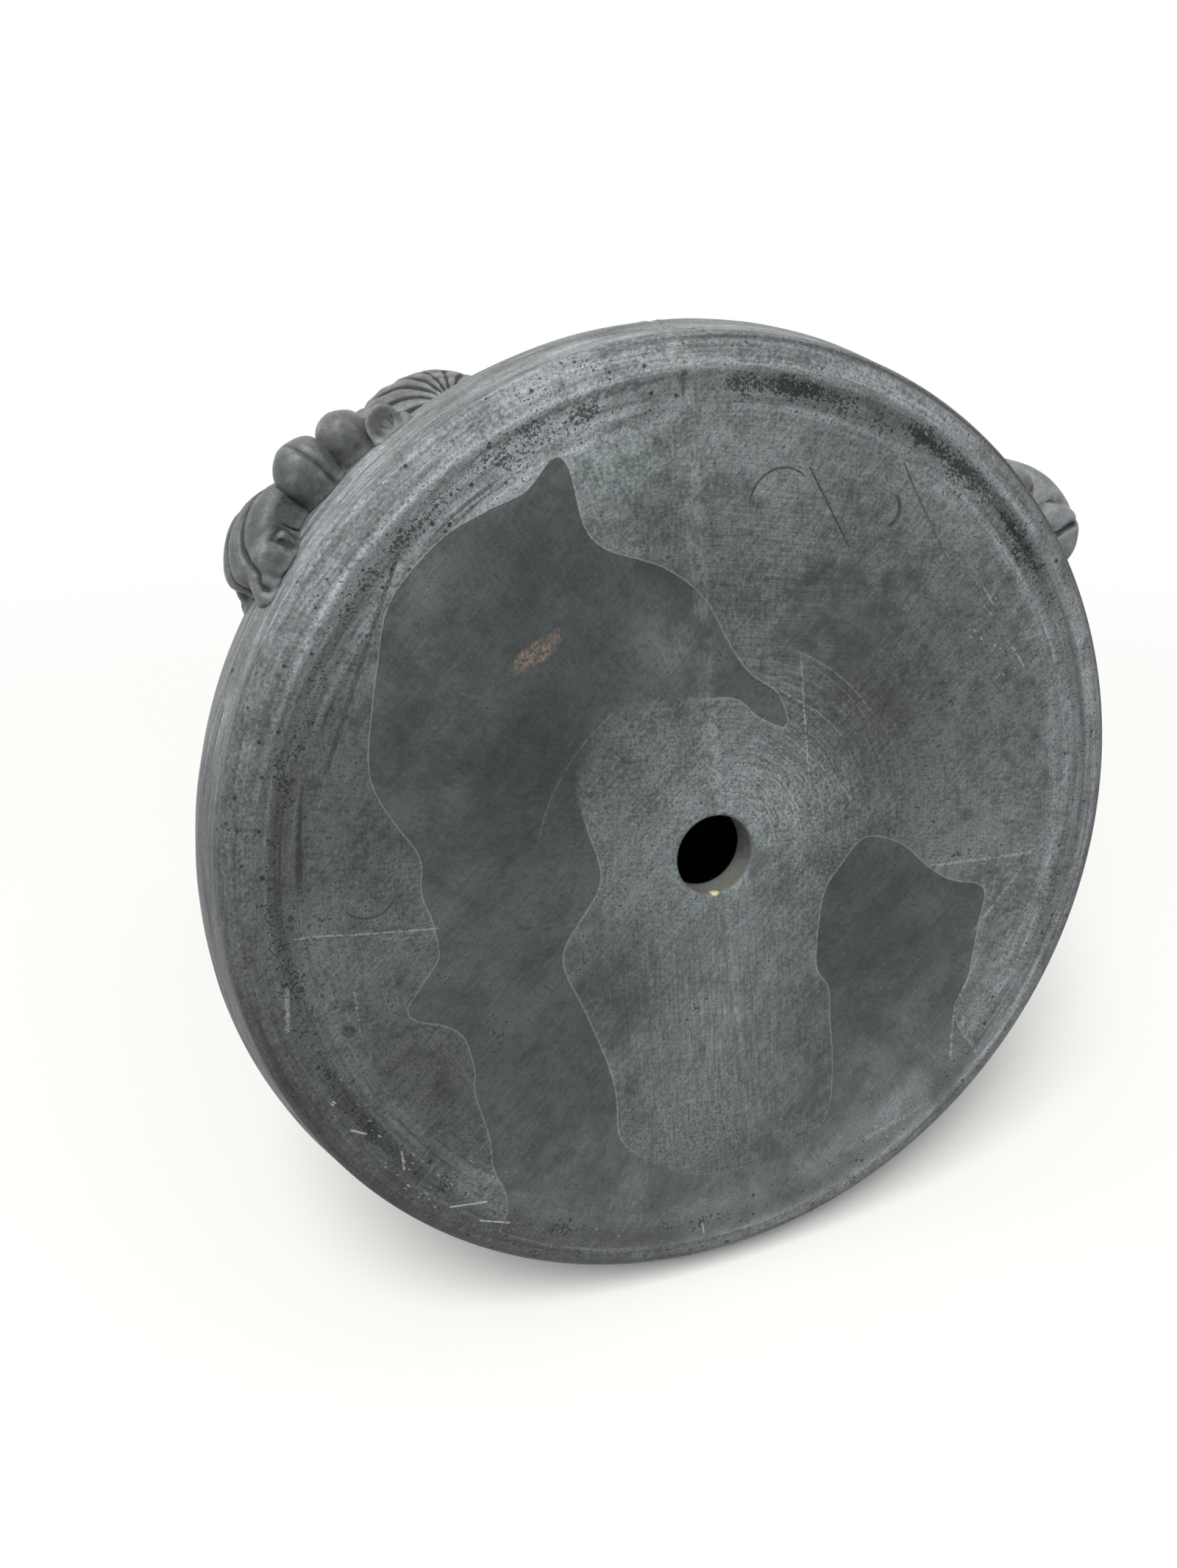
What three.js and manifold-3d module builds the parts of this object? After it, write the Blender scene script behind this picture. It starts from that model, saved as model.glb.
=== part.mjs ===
// Large stoneware vase with applied relief, standing upright on its foot ring.
// Millimetres, +Z up. The origin is the centre of the plane that the foot ring stands on,
// and the front of the vase faces -Y. Angles round the wall are degrees from the front,
// positive towards +X.

import * as THREE from 'three';
import { mergeVertices } from 'three/addons/utils/BufferGeometryUtils.js';
import Module from 'manifold-3d';

const wasm = await Module();
wasm.setup();

// Overall heights and outer radii of the wall, from the foot up
const HEIGHT = 380;
const LUTE_LINE_HEIGHT = 7;
const LUTE_LINE_RADIUS = 145.6;
const BELLY_HEIGHT = 21;
const BELLY_RADIUS = 150;
const HIP_HEIGHT = 72;
const HIP_RADIUS = 143.6;
const WAIST_HEIGHT = 165;
const WAIST_RADIUS = 127;
const SHOULDER_BELOW_TOP = 65;
const SHOULDER_RADIUS = 111;
const NECK_BELOW_TOP = 32;
const NECK_RADIUS = 99;
const WALL_TOP_BELOW_TOP = 16;
const WALL_TOP_RADIUS = 100.5;
const WALL = 10;

// Base slab: flat foot ring, hollowed underside, drain hole and the ledge for the wall
const FOOT_RING_RADIUS = 133;
const FOOT_RING_WIDTH = 5;
const DISH_DEPTH = 4.5;
const SLAB_THICKNESS = 10.5;
const DRAIN_RADIUS = 12.5;
const DRAIN_OFFSET = [-1, 4];
const LEDGE_WIDTH = 9.6;
const HEEL_BULGE = 0.9;
const HEEL_LIFT = 0.2;

// Lip coil and the tongue that it sits over
const LIP_ROLL_RADIUS = 7.5;
const LIP_ROLL_START = -50;
const LIP_ROLL_SWEEP = 205;
const TONGUE_HEIGHT = 4;
const TONGUE_THICKNESS = 4.5;

// Gap of the luted joints, and the mould seam's angle from the front
const LUTE_GAP = 0.3;
const SEAM_ANGLE = -7.7;

// Applied relief: places as degrees from the front and height above the foot, then sizes
const SHELL = { angle: -6.2, belowLip: 13, halfWidth: 48, halfHeight: 46, proud: 44 };
const SHELL_RIBS = { count: 11, depth: 0.09, hinge: -0.82 };
const SHELL_EMBED = 10;
const KNOP_RADIUS = 8.6;
const BUD_RADIUS = 7;
const SCROLL = { radius: 6.8, waist: 5.4, proud: 3.2, length: 24 };
const SCROLL_GROOVE = { width: 1.1, depth: 2, turns: 1.6, outer: 1.06, inner: 0.26 };

// On the left the bud and the scroll lie in a row with the knop, on the right they hang higher up.
// The knop and the bud have their distance proud of the wall as a third value.
const LEFT_PLACES = { knop: [46.6, 27, 7.2], bud: [41.6, 29, 6.6], scroll: [38.1, 31] };
const RIGHT_PLACES = { knop: [47.5, 27, 2.6], bud: [35, 88, 5], scroll: [32.5, 114] };

// The two leaves differ a little: how far each is turned along the wall and raised at its middle
const LEAF_TURN = { left: 0, right: -1.8 };
const LEAF_LIFT = { left: 0, right: 5 };

// Stations of the swept relief: degrees from front, height, proud, half width, half depth
const LEAF_ROUTE = [
  [43.0, 84, -2.0, 6.0, 3.0],
  [46.0, 64, 1.5, 11.0, 4.6],
  [49.8, 44, 5.0, 13.0, 6.0],
  [53.6, 31, 7.2, 13.0, 7.0],
  [57.0, 24, 5.0, 11.0, 6.2],
  [59.0, 21, 0.0, 7.5, 4.6],
];
const LOBE_ROUTES = [
  [
    [52.0, 18, 1.6, 4.6, 3.6],
    [55.2, 17, 5.0, 5.2, 4.0],
    [57.8, 16, 1.8, 4.6, 3.6],
    [59.2, 16, -2.4, 3.0, 3.0],
  ],
  [
    [53.0, 40, 2.6, 5.2, 3.8],
    [56.6, 36, 5.0, 5.6, 4.2],
    [59.4, 31, 1.8, 4.8, 3.6],
    [60.8, 28, -2.4, 3.0, 3.0],
  ],
];

// The stem climbs the wall in a long S and rolls up beside the shell. It and its leaflets are
// drawn for a shell at this height and stretch with it, above the root that lies beside the leaf.
const DRAWN_SHELL_HEIGHT = 305;
const STEM_ROOT_TOP = 98;
const STEM_RISE = [
  [39.5, 66, 0.0, 7.0, 4.6],
  [43.0, 98, 0.0, 6.8, 4.6],
  [41.5, 134, 0.0, 6.6, 4.6],
  [32.5, 174, 0.4, 6.4, 4.8],
  [26.5, 214, 0.8, 6.2, 4.8],
  [26.5, 252, 0.8, 6.0, 4.8],
];
const CURL = { angle: 37, belowShell: 21, radius: 20, endRadius: 5, turns: 1.3, proud: 1.2 };
const CURL_SECTION = { width: 5.8, endWidth: 3.8, flatness: 0.9 };
const CURL_STATIONS = 14;

// How quickly a swept end swells to its full section
const END_ROUNDING = 1.6;

// Leaflets that spring from the stem: route stations as above
const LEAFLET_ROUTES = [
  [
    [42.0, 116, 0.0, 4.0, 3.0],
    [48.0, 128, 1.0, 10.0, 3.6],
    [53.0, 148, 1.4, 9.0, 3.4],
    [55.0, 168, 0.0, 3.0, 2.4],
  ],
  [
    [29.5, 190, 0.5, 4.0, 3.0],
    [21.5, 200, 1.6, 10.0, 3.8],
    [15.5, 218, 1.8, 9.0, 3.6],
    [14.5, 238, 0.0, 3.0, 2.4],
  ],
];

// Mesh fineness
const LATHE_SEGMENTS = 60;
const WALL_RINGS_PER_SPAN = 3;
const DRAIN_SEGMENTS = 36;
const SCROLL_SEGMENTS = 24;

// Colours of the fired body
const SLATE = 0x53575a;
const SLATE_DARK = 0x43474a;

const SHOULDER_HEIGHT = HEIGHT - SHOULDER_BELOW_TOP;
const NECK_HEIGHT = HEIGHT - NECK_BELOW_TOP;
const WALL_TOP_HEIGHT = HEIGHT - WALL_TOP_BELOW_TOP;
const SLAB_TOP = DISH_DEPTH + SLAB_THICKNESS;
const SHELL_HEIGHT = WALL_TOP_HEIGHT - SHELL.belowLip - SHELL.halfHeight;
const CURL_HEIGHT = SHELL_HEIGHT - CURL.belowShell;
const REBATE_RADIUS = LUTE_LINE_RADIUS - LEDGE_WIDTH;

const WALL_KNOTS = [
  [LUTE_LINE_HEIGHT, LUTE_LINE_RADIUS],
  [BELLY_HEIGHT, BELLY_RADIUS],
  [HIP_HEIGHT, HIP_RADIUS],
  [WAIST_HEIGHT, WAIST_RADIUS],
  [SHOULDER_HEIGHT, SHOULDER_RADIUS],
  [NECK_HEIGHT, NECK_RADIUS],
  [WALL_TOP_HEIGHT, WALL_TOP_RADIUS],
];

// Slopes at the knots that keep the curve from overshooting between them
function knotSlopes(knots) {
  const secants = knots.slice(1).map(([z, r], i) => (r - knots[i][1]) / (z - knots[i][0]));
  return knots.map((_, i) => {
    if (i === 0) return secants[0];
    if (i === knots.length - 1) return secants[i - 1];
    const before = secants[i - 1];
    const after = secants[i];
    return before * after <= 0 ? 0 : (2 * before * after) / (before + after);
  });
}

const WALL_SLOPES = knotSlopes(WALL_KNOTS);

// Outer radius of the wall at a height
function wallRadius(z) {
  const last = WALL_KNOTS.length - 2;
  let span = 0;
  while (span < last && z > WALL_KNOTS[span + 1][0]) span += 1;
  const [z0, r0] = WALL_KNOTS[span];
  const [z1, r1] = WALL_KNOTS[span + 1];
  const rise = z1 - z0;
  const s = THREE.MathUtils.clamp((z - z0) / rise, 0, 1);
  const s2 = s * s;
  const s3 = s2 * s;
  return (
    (2 * s3 - 3 * s2 + 1) * r0 +
    (s3 - 2 * s2 + s) * rise * WALL_SLOPES[span] +
    (3 * s2 - 2 * s3) * r1 +
    (s3 - s2) * rise * WALL_SLOPES[span + 1]
  );
}

// Heights of the wall's rings, from its foot to its top
function wallHeights() {
  const heights = [LUTE_LINE_HEIGHT + LUTE_GAP];
  for (let i = 1; i < WALL_KNOTS.length; i += 1) {
    const from = WALL_KNOTS[i - 1][0];
    const to = WALL_KNOTS[i][0];
    for (let k = 1; k <= WALL_RINGS_PER_SPAN; k += 1) {
      heights.push(from + ((to - from) * k) / WALL_RINGS_PER_SPAN);
    }
  }
  return heights;
}

// A point beside the wall: degrees from the front, height, distance proud of the surface
function onWall(angle, z, proud) {
  const azimuth = THREE.MathUtils.degToRad(angle - 90);
  const r = wallRadius(z) + proud;
  return new THREE.Vector3(r * Math.cos(azimuth), r * Math.sin(azimuth), z);
}

// Closed solid of a geometry, with its faces turned outwards
function solidOf(geometry) {
  const bare = geometry.clone();
  bare.deleteAttribute('normal');
  bare.deleteAttribute('uv');
  const merged = mergeVertices(bare);
  const position = merged.getAttribute('position');
  const index = merged.getIndex();
  const corner = (i) => new THREE.Vector3().fromBufferAttribute(position, i);
  const triangles = [];
  let volume = 0;
  for (let i = 0; i < index.count; i += 3) {
    const [a, b, c] = [index.getX(i), index.getX(i + 1), index.getX(i + 2)];
    if (a === b || b === c || a === c) continue;
    triangles.push([a, b, c]);
    volume += corner(a).dot(corner(b).cross(corner(c)));
  }
  const outward = volume > 0 ? triangles : triangles.map(([a, b, c]) => [a, c, b]);
  const mesh = new wasm.Mesh({
    numProp: 3,
    vertProperties: Float32Array.from(position.array),
    triVerts: Uint32Array.from(outward.flat()),
  });
  return new wasm.Manifold(mesh);
}

function geometryOf(solid) {
  const mesh = solid.getMesh();
  const geometry = new THREE.BufferGeometry();
  geometry.setAttribute('position', new THREE.BufferAttribute(Float32Array.from(mesh.vertProperties), 3));
  geometry.setIndex(new THREE.BufferAttribute(Uint32Array.from(mesh.triVerts), 1));
  geometry.computeVertexNormals();
  return geometry;
}

// Solid of revolution about Z from a profile of [radius, height] points
function turned(profile, segments = LATHE_SEGMENTS) {
  const points = profile.map(([r, z]) => new THREE.Vector2(r, z));
  return solidOf(new THREE.LatheGeometry(points, segments).rotateX(Math.PI / 2));
}

function closedRing(profile) {
  return turned([...profile, profile[0]]);
}

// The wall's outer surface as a plug, used to seat the relief on the wall
function wallPlug(clearance) {
  const outline = wallHeights().map((z) => [wallRadius(z) + clearance, z]);
  const top = outline[outline.length - 1][1] + WALL_TOP_BELOW_TOP;
  return turned([[0, 0], [outline[0][0], 0], ...outline, [WALL_TOP_RADIUS + clearance, top], [0, top]]);
}

function drainPlug() {
  const plug = new THREE.CylinderGeometry(DRAIN_RADIUS, DRAIN_RADIUS, 4 * SLAB_TOP, DRAIN_SEGMENTS);
  plug.rotateX(Math.PI / 2);
  plug.translate(...DRAIN_OFFSET, 0);
  return solidOf(plug);
}

// Base slab: stands on the foot ring and carries the wall on its ledge
function baseSlab() {
  const ringInner = FOOT_RING_RADIUS - FOOT_RING_WIDTH / 2;
  const ringOuter = FOOT_RING_RADIUS + FOOT_RING_WIDTH / 2;
  const dishSteps = 4;
  const dish = [];
  for (let k = 0; k <= dishSteps; k += 1) {
    const r = (ringInner * k) / dishSteps;
    dish.push([r, DISH_DEPTH * (1 - (r / ringInner) ** 2)]);
  }
  const heel = new THREE.QuadraticBezierCurve(
    new THREE.Vector2(ringOuter, 0),
    new THREE.Vector2(LUTE_LINE_RADIUS + HEEL_BULGE, HEEL_LIFT),
    new THREE.Vector2(LUTE_LINE_RADIUS, LUTE_LINE_HEIGHT),
  );
  return turned([
    ...dish,
    ...heel.getPoints(5).map((p) => [p.x, p.y]),
    [REBATE_RADIUS, LUTE_LINE_HEIGHT],
    [REBATE_RADIUS, SLAB_TOP],
    [0, SLAB_TOP],
  ]).subtract(drainPlug());
}

// The whole wall as one ring, before it is parted along the mould seam
function wallRing() {
  const heights = wallHeights();
  const outer = heights.map((z) => [wallRadius(z), z]);
  const footInner = REBATE_RADIUS + LUTE_GAP;
  const inner = heights
    .filter((z) => z >= BELLY_HEIGHT)
    .map((z) => [wallRadius(z) - WALL, z])
    .reverse();
  const tongueInner = WALL_TOP_RADIUS - WALL;
  return closedRing([
    ...outer,
    [tongueInner + TONGUE_THICKNESS, WALL_TOP_HEIGHT],
    [tongueInner + TONGUE_THICKNESS, WALL_TOP_HEIGHT + TONGUE_HEIGHT],
    [tongueInner, WALL_TOP_HEIGHT + TONGUE_HEIGHT],
    ...inner,
    [footInner, SLAB_TOP],
    [footInner, LUTE_LINE_HEIGHT + LUTE_GAP],
  ]);
}

// One half of the wall; side is -1 or +1 and the parting plane holds the axis
function wallHalf(ring, side) {
  const reach = 2 * BELLY_RADIUS;
  const block = new THREE.BoxGeometry(reach, 2 * reach, 2 * HEIGHT);
  block.translate(side * (reach / 2 + LUTE_GAP / 2), 0, HEIGHT / 2);
  block.rotateZ(THREE.MathUtils.degToRad(SEAM_ANGLE));
  return ring.intersect(solidOf(block));
}

// Rolled lip that binds the two halves: a coil grooved to fit over the tongue
function lipCoil() {
  const bottom = WALL_TOP_HEIGHT + LUTE_GAP;
  const inner = WALL_TOP_RADIUS - WALL;
  const grooveTop = WALL_TOP_HEIGHT + TONGUE_HEIGHT + LUTE_GAP;
  const grooveOuter = inner + TONGUE_THICKNESS + LUTE_GAP;
  const rollCentre = new THREE.Vector2(WALL_TOP_RADIUS - 1, HEIGHT - LIP_ROLL_RADIUS);
  const roll = [];
  const rollSteps = 7;
  for (let k = 0; k <= rollSteps; k += 1) {
    const turn = THREE.MathUtils.degToRad(LIP_ROLL_START + (LIP_ROLL_SWEEP * k) / rollSteps);
    const spoke = new THREE.Vector2(LIP_ROLL_RADIUS, 0).rotateAround(new THREE.Vector2(), turn);
    roll.push(spoke.add(rollCentre).toArray());
  }
  return closedRing([
    [WALL_TOP_RADIUS, bottom],
    ...roll,
    [inner, grooveTop],
    [grooveOuter, grooveTop],
    [grooveOuter, bottom],
  ]);
}

// Tube with an oval section that follows stations along the wall, closed by rounded ends
function sweepOnWall(route, sides, steps, grow) {
  const path = new THREE.CatmullRomCurve3(route.map(([angle, z, proud]) => onWall(angle, z, proud)));
  const sizes = new THREE.CatmullRomCurve3(route.map((s) => new THREE.Vector3(s[3], s[4], 0)));
  const positions = [];
  const indices = [];
  for (let i = 0; i <= steps; i += 1) {
    const turn = (i / steps) * Math.PI;
    const along = (1 - Math.cos(turn)) / 2;
    const rounding = Math.min(1, END_ROUNDING * Math.sin(turn));
    const centre = path.getPoint(along);
    const tangent = path.getTangent(along);
    const radial = new THREE.Vector3(centre.x, centre.y, 0).normalize();
    const sideways = new THREE.Vector3().crossVectors(tangent, radial).normalize();
    const out = new THREE.Vector3().crossVectors(sideways, tangent).normalize();
    const size = sizes.getPoint(along);
    if (i === 0 || i === steps) {
      centre.addScaledVector(tangent, i === 0 ? -grow : grow);
      positions.push(...centre.toArray());
      continue;
    }
    for (let k = 0; k < sides; k += 1) {
      const around = (2 * Math.PI * k) / sides;
      const point = centre.clone();
      point.addScaledVector(sideways, (size.x * rounding + grow) * Math.cos(around));
      point.addScaledVector(out, (size.y * rounding + grow) * Math.sin(around));
      positions.push(...point.toArray());
    }
  }
  const ring = (i) => 1 + (i - 1) * sides;
  const lastPoint = positions.length / 3 - 1;
  for (let k = 0; k < sides; k += 1) {
    const next = (k + 1) % sides;
    indices.push(0, ring(1) + next, ring(1) + k);
    indices.push(lastPoint, ring(steps - 1) + k, ring(steps - 1) + next);
    for (let i = 1; i < steps - 1; i += 1) {
      indices.push(ring(i) + k, ring(i) + next, ring(i + 1) + k);
      indices.push(ring(i) + next, ring(i + 1) + next, ring(i + 1) + k);
    }
  }
  const geometry = new THREE.BufferGeometry();
  geometry.setAttribute('position', new THREE.Float32BufferAttribute(positions, 3));
  geometry.setIndex(indices);
  return solidOf(geometry);
}

// Rolled leaf with two side lobes at its turned tip
function leaf(side, grow) {
  const placed = (route) =>
    route.map(([angle, z, proud, width, depth], i) => {
      const lift = LEAF_LIFT[side] * Math.sin((Math.PI * i) / (route.length - 1));
      return [angle + LEAF_TURN[side], z, proud + lift, width, depth];
    });
  const blade = sweepOnWall(placed(LEAF_ROUTE), 16, 14, grow);
  return LOBE_ROUTES.reduce((whole, route) => whole.add(sweepOnWall(placed(route), 10, 8, grow)), blade);
}

// Stations of the curl that ends the stem, turning inwards beside the shell
function curlStations() {
  const stations = [];
  const perDegree = THREE.MathUtils.degToRad(1) * wallRadius(CURL_HEIGHT);
  for (let k = 1; k <= CURL_STATIONS; k += 1) {
    const share = k / CURL_STATIONS;
    const turn = Math.PI * (1 - 2 * CURL.turns * share);
    const r = THREE.MathUtils.lerp(CURL.radius, CURL.endRadius, share);
    const width = THREE.MathUtils.lerp(CURL_SECTION.width, CURL_SECTION.endWidth, share);
    const angle = CURL.angle + (r * Math.cos(turn)) / perDegree;
    stations.push([angle, CURL_HEIGHT + r * Math.sin(turn), CURL.proud, width, width * CURL_SECTION.flatness]);
  }
  return stations;
}

function stem(grow) {
  const stretch = (SHELL_HEIGHT - STEM_ROOT_TOP) / (DRAWN_SHELL_HEIGHT - STEM_ROOT_TOP);
  const raised = (z) => z + Math.max(0, z - STEM_ROOT_TOP) * (stretch - 1);
  const stretched = (route) => route.map(([angle, z, ...size]) => [angle, raised(z), ...size]);
  const stalk = sweepOnWall([...stretched(STEM_RISE), ...curlStations()], 8, 44, grow);
  return LEAFLET_ROUTES.reduce((whole, route) => whole.add(sweepOnWall(stretched(route), 10, 8, grow)), stalk);
}

// Ball ornament, a little flattened against the wall
function ball([angle, height, proud], radius, grow) {
  const sphere = new THREE.SphereGeometry(radius + grow, 18, 12);
  return solidOf(sphere).translate(onWall(angle, height, proud).toArray());
}

// Points of a spiral line that runs in from the scroll's rim, shifted sideways by an offset
function spiralPoints(offset) {
  const steps = 26;
  const points = [];
  for (let k = 0; k <= steps; k += 1) {
    const turn = (SCROLL_GROOVE.turns * 2 * Math.PI * k) / steps;
    const share = THREE.MathUtils.lerp(SCROLL_GROOVE.outer, SCROLL_GROOVE.inner, k / steps);
    const r = SCROLL.radius * share - offset;
    points.push(new THREE.Vector2(r * Math.cos(turn), r * Math.sin(turn)));
  }
  return points;
}

// Upright scroll, waisted like a bolster, whose rolled ends show a spiral groove
function scroll([angle, height], grow) {
  const radius = SCROLL.radius + grow;
  const waist = SCROLL.waist + grow;
  const end = SCROLL.length / 2 + grow;
  const profile = [[0, -end], [radius, -end], [waist, -end / 2], [waist, end / 2], [radius, end], [0, end]];
  let roll = turned(profile, SCROLL_SEGMENTS);
  if (grow === 0) {
    const half = SCROLL_GROOVE.width / 2;
    const groove = new THREE.Shape([...spiralPoints(half), ...spiralPoints(-half).reverse()]);
    const options = { depth: 2 * SCROLL_GROOVE.depth, bevelEnabled: false };
    const cut = solidOf(new THREE.ExtrudeGeometry(groove, options));
    roll = roll.subtract(cut.translate([0, 0, end - SCROLL_GROOVE.depth]));
    roll = roll.subtract(cut.translate([0, 0, -end - SCROLL_GROOVE.depth]));
  }
  return roll.rotate([0, 0, angle]).translate(onWall(angle, height, SCROLL.proud).toArray());
}

// Reeded shell: a dome whose ribs fan out from its lower edge
function shell(grow) {
  const around = 66;
  const rings = 7;
  const base = wallRadius(SHELL_HEIGHT);
  const sink = base * (1 - Math.cos(SHELL.halfWidth / base)) + SHELL_EMBED;
  const positions = [0, 0, SHELL.proud + grow];
  for (let j = 1; j <= rings; j += 1) {
    const rho = Math.sin((j / rings) * (Math.PI / 2));
    for (let k = 0; k < around; k += 1) {
      const turn = (2 * Math.PI * k) / around;
      const x = rho * Math.cos(turn);
      const y = rho * Math.sin(turn);
      const fan = Math.atan2(x, y - SHELL_RIBS.hinge);
      const reed = 1 - SHELL_RIBS.depth * (1 - Math.abs(Math.cos(SHELL_RIBS.count * fan))) * rho;
      const rise = (SHELL.proud + grow) * Math.sqrt(Math.max(0, 1 - rho * rho));
      positions.push((SHELL.halfWidth + grow) * x * reed, (SHELL.halfHeight + grow) * y * reed, rise * reed);
    }
  }
  const backStart = positions.length / 3;
  for (let k = 0; k < around; k += 1) {
    const edge = 3 * (1 + (rings - 1) * around + k);
    positions.push(positions[edge], positions[edge + 1], -sink);
  }
  positions.push(0, 0, -sink);
  const backCentre = positions.length / 3 - 1;
  const indices = [];
  const ring = (j) => 1 + (j - 1) * around;
  for (let k = 0; k < around; k += 1) {
    const next = (k + 1) % around;
    indices.push(0, ring(1) + k, ring(1) + next);
    for (let j = 1; j < rings; j += 1) {
      indices.push(ring(j) + k, ring(j + 1) + k, ring(j) + next);
      indices.push(ring(j) + next, ring(j + 1) + k, ring(j + 1) + next);
    }
    indices.push(ring(rings) + k, backStart + k, ring(rings) + next);
    indices.push(ring(rings) + next, backStart + k, backStart + next);
    indices.push(backCentre, backStart + next, backStart + k);
  }
  const geometry = new THREE.BufferGeometry();
  geometry.setAttribute('position', new THREE.Float32BufferAttribute(positions, 3));
  geometry.setIndex(indices);
  geometry.rotateX(Math.PI / 2);
  geometry.translate(0, -base, SHELL_HEIGHT);
  geometry.rotateZ(THREE.MathUtils.degToRad(SHELL.angle));
  return solidOf(geometry);
}

const vase = new THREE.Group();

function addPiece(name, solid, color, roughness) {
  const material = new THREE.MeshStandardMaterial({ color, roughness, metalness: 0 });
  const mesh = new THREE.Mesh(geometryOf(solid), material);
  mesh.name = name;
  vase.add(mesh);
}

addPiece('base_slab', baseSlab(), SLATE, 0.62);

const ring = wallRing();
addPiece('wall_left', wallHalf(ring, -1), SLATE, 0.66);
addPiece('wall_right', wallHalf(ring, 1), SLATE, 0.66);
addPiece('lip_coil', lipCoil(), SLATE, 0.66);

const seat = wallPlug(LUTE_GAP);
addPiece('shell_boss', shell(0).subtract(seat), SLATE, 0.6);

// Each relief piece is cut clear of the pieces laid before it, then seated on the wall
function laySprigs(side, places) {
  const sprigs = {
    leaf: (grow) => leaf(side, grow),
    knop: (grow) => ball(places.knop, KNOP_RADIUS, grow),
    scroll: (grow) => scroll(places.scroll, grow),
    bud: (grow) => ball(places.bud, BUD_RADIUS, grow),
    stem,
  };
  const facing = (solid) => (side === 'left' ? solid.mirror([1, 0, 0]) : solid);
  let laid = seat.add(facing(shell(LUTE_GAP)));
  for (const [name, make] of Object.entries(sprigs)) {
    const piece = make(0).subtract(laid);
    addPiece(`${name}_${side}`, facing(piece), SLATE_DARK, 0.64);
    laid = laid.add(make(LUTE_GAP));
  }
}

laySprigs('left', LEFT_PLACES);
laySprigs('right', RIGHT_PLACES);

export default vase;
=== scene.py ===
import math
from functools import cache, reduce
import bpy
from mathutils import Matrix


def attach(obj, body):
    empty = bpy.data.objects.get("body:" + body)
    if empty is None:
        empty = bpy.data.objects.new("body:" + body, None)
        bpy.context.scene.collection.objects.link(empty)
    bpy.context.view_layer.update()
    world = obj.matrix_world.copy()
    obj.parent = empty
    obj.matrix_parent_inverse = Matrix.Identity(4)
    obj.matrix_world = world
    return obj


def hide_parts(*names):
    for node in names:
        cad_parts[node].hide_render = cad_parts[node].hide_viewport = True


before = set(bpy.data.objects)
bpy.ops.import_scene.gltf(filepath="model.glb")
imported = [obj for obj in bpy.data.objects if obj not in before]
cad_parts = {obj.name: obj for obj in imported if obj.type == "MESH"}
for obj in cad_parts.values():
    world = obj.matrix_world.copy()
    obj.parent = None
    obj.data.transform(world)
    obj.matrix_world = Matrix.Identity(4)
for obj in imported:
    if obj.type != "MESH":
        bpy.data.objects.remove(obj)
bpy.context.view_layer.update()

from types import SimpleNamespace

import bpy
import numpy as np
from bpy.props import FloatProperty, FloatVectorProperty, IntProperty, PointerProperty
from mathutils import Euler, Vector, noise

bl_info = {
    "name": "Stoneware Vase",
    "version": (1, 0, 0),
    "blender": (4, 5, 0),
    "location": "3D View > Sidebar > Vase",
    "description": "Builds a large burnished stoneware vase with applied relief",
    "category": "Object",
}

# All sizes below are millimetres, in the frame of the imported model: the vase stands on its foot
# ring at the origin, +Z is up and the front faces -Y. Meshes are scaled by MM when they are made.
MM = 0.001
SIDES = {"left": -1, "right": 1}

# Heights and outer radii of the wall
WALL_KNOTS = np.array(
    [(7, 145.6), (21, 150), (72, 143.6), (165, 127), (315, 111), (348, 99), (364, 100.5)], float,
)
LUTE_RADIUS = WALL_KNOTS[0, 1]
WALL_TOP, NECK_RADIUS = WALL_KNOTS[-1]
WALL_THICKNESS = 10.0
TONGUE_WIDTH = 4.5
TONGUE_HEIGHT = 4.0
LIP_ROLL = 7.5
HEIGHT = 380.0
LUTE_GAP = 0.3

# Foot slab
RING_INNER = 130.5
RING_OUTER = 135.5
DISH_DEPTH = 4.5
SLAB_TOP = 15.0
LEDGE_HEIGHT = 7.0
LEDGE_RADIUS = 136.0
WALL_FOOT = LEDGE_HEIGHT + LUTE_GAP
DRAIN_RADIUS = 12.5
DRAIN_CENTRE = np.array([-1.0, 4.0])

# The mould seam crosses the foot at this angle from the front, and the columns of the turned meshes
# stand at these degrees beside it
SEAM_ANGLE = -7.7
SEAM_COLUMNS = np.array([-1.3, -0.8, -0.45, -0.2, 0, 0.2, 0.45, 0.8, 1.3])

# Applied relief, as degrees from the front, height and distance proud of the wall
SHELL_PLACE = (-6.2, 305.0)
SHELL_SINK = 16.0
PLACES = {
    "left": {"knop": (46.6, 27, 7.2), "bud": (41.6, 29, 6.6), "scroll": (38.1, 31, 3.2)},
    "right": {"knop": (47.5, 27, 2.6), "bud": (35, 88, 5), "scroll": (32.5, 114, 3.2)},
}
LEAF_TURN = {"left": 0.0, "right": -1.8}
LEAF_LIFT = {"left": 0.0, "right": 5.0}
SCROLL_RADIUS = 6.8
SCROLL_WAIST = 5.4
SCROLL_LENGTH = 24.0
SCROLL_TURNS = 1.9
SCROLL_STRIP = 2.3

# Radius of each kind of berry and the number of its folds
BERRIES = {"knop": (8.6, 4), "bud": (7.0, 3)}

# Fineness of the meshes: stations along a roll of clay, rings and columns of a berry, stations and
# levels of a scroll, and the size of the scroll's remesh
LEAF_STEPS = 56
STEM_STEPS = 120
BERRY_RINGS = 48
BERRY_COLUMNS = 72
SCROLL_STEPS = 90
SCROLL_LEVELS = 26
SCROLL_VOXEL = 0.45

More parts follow.
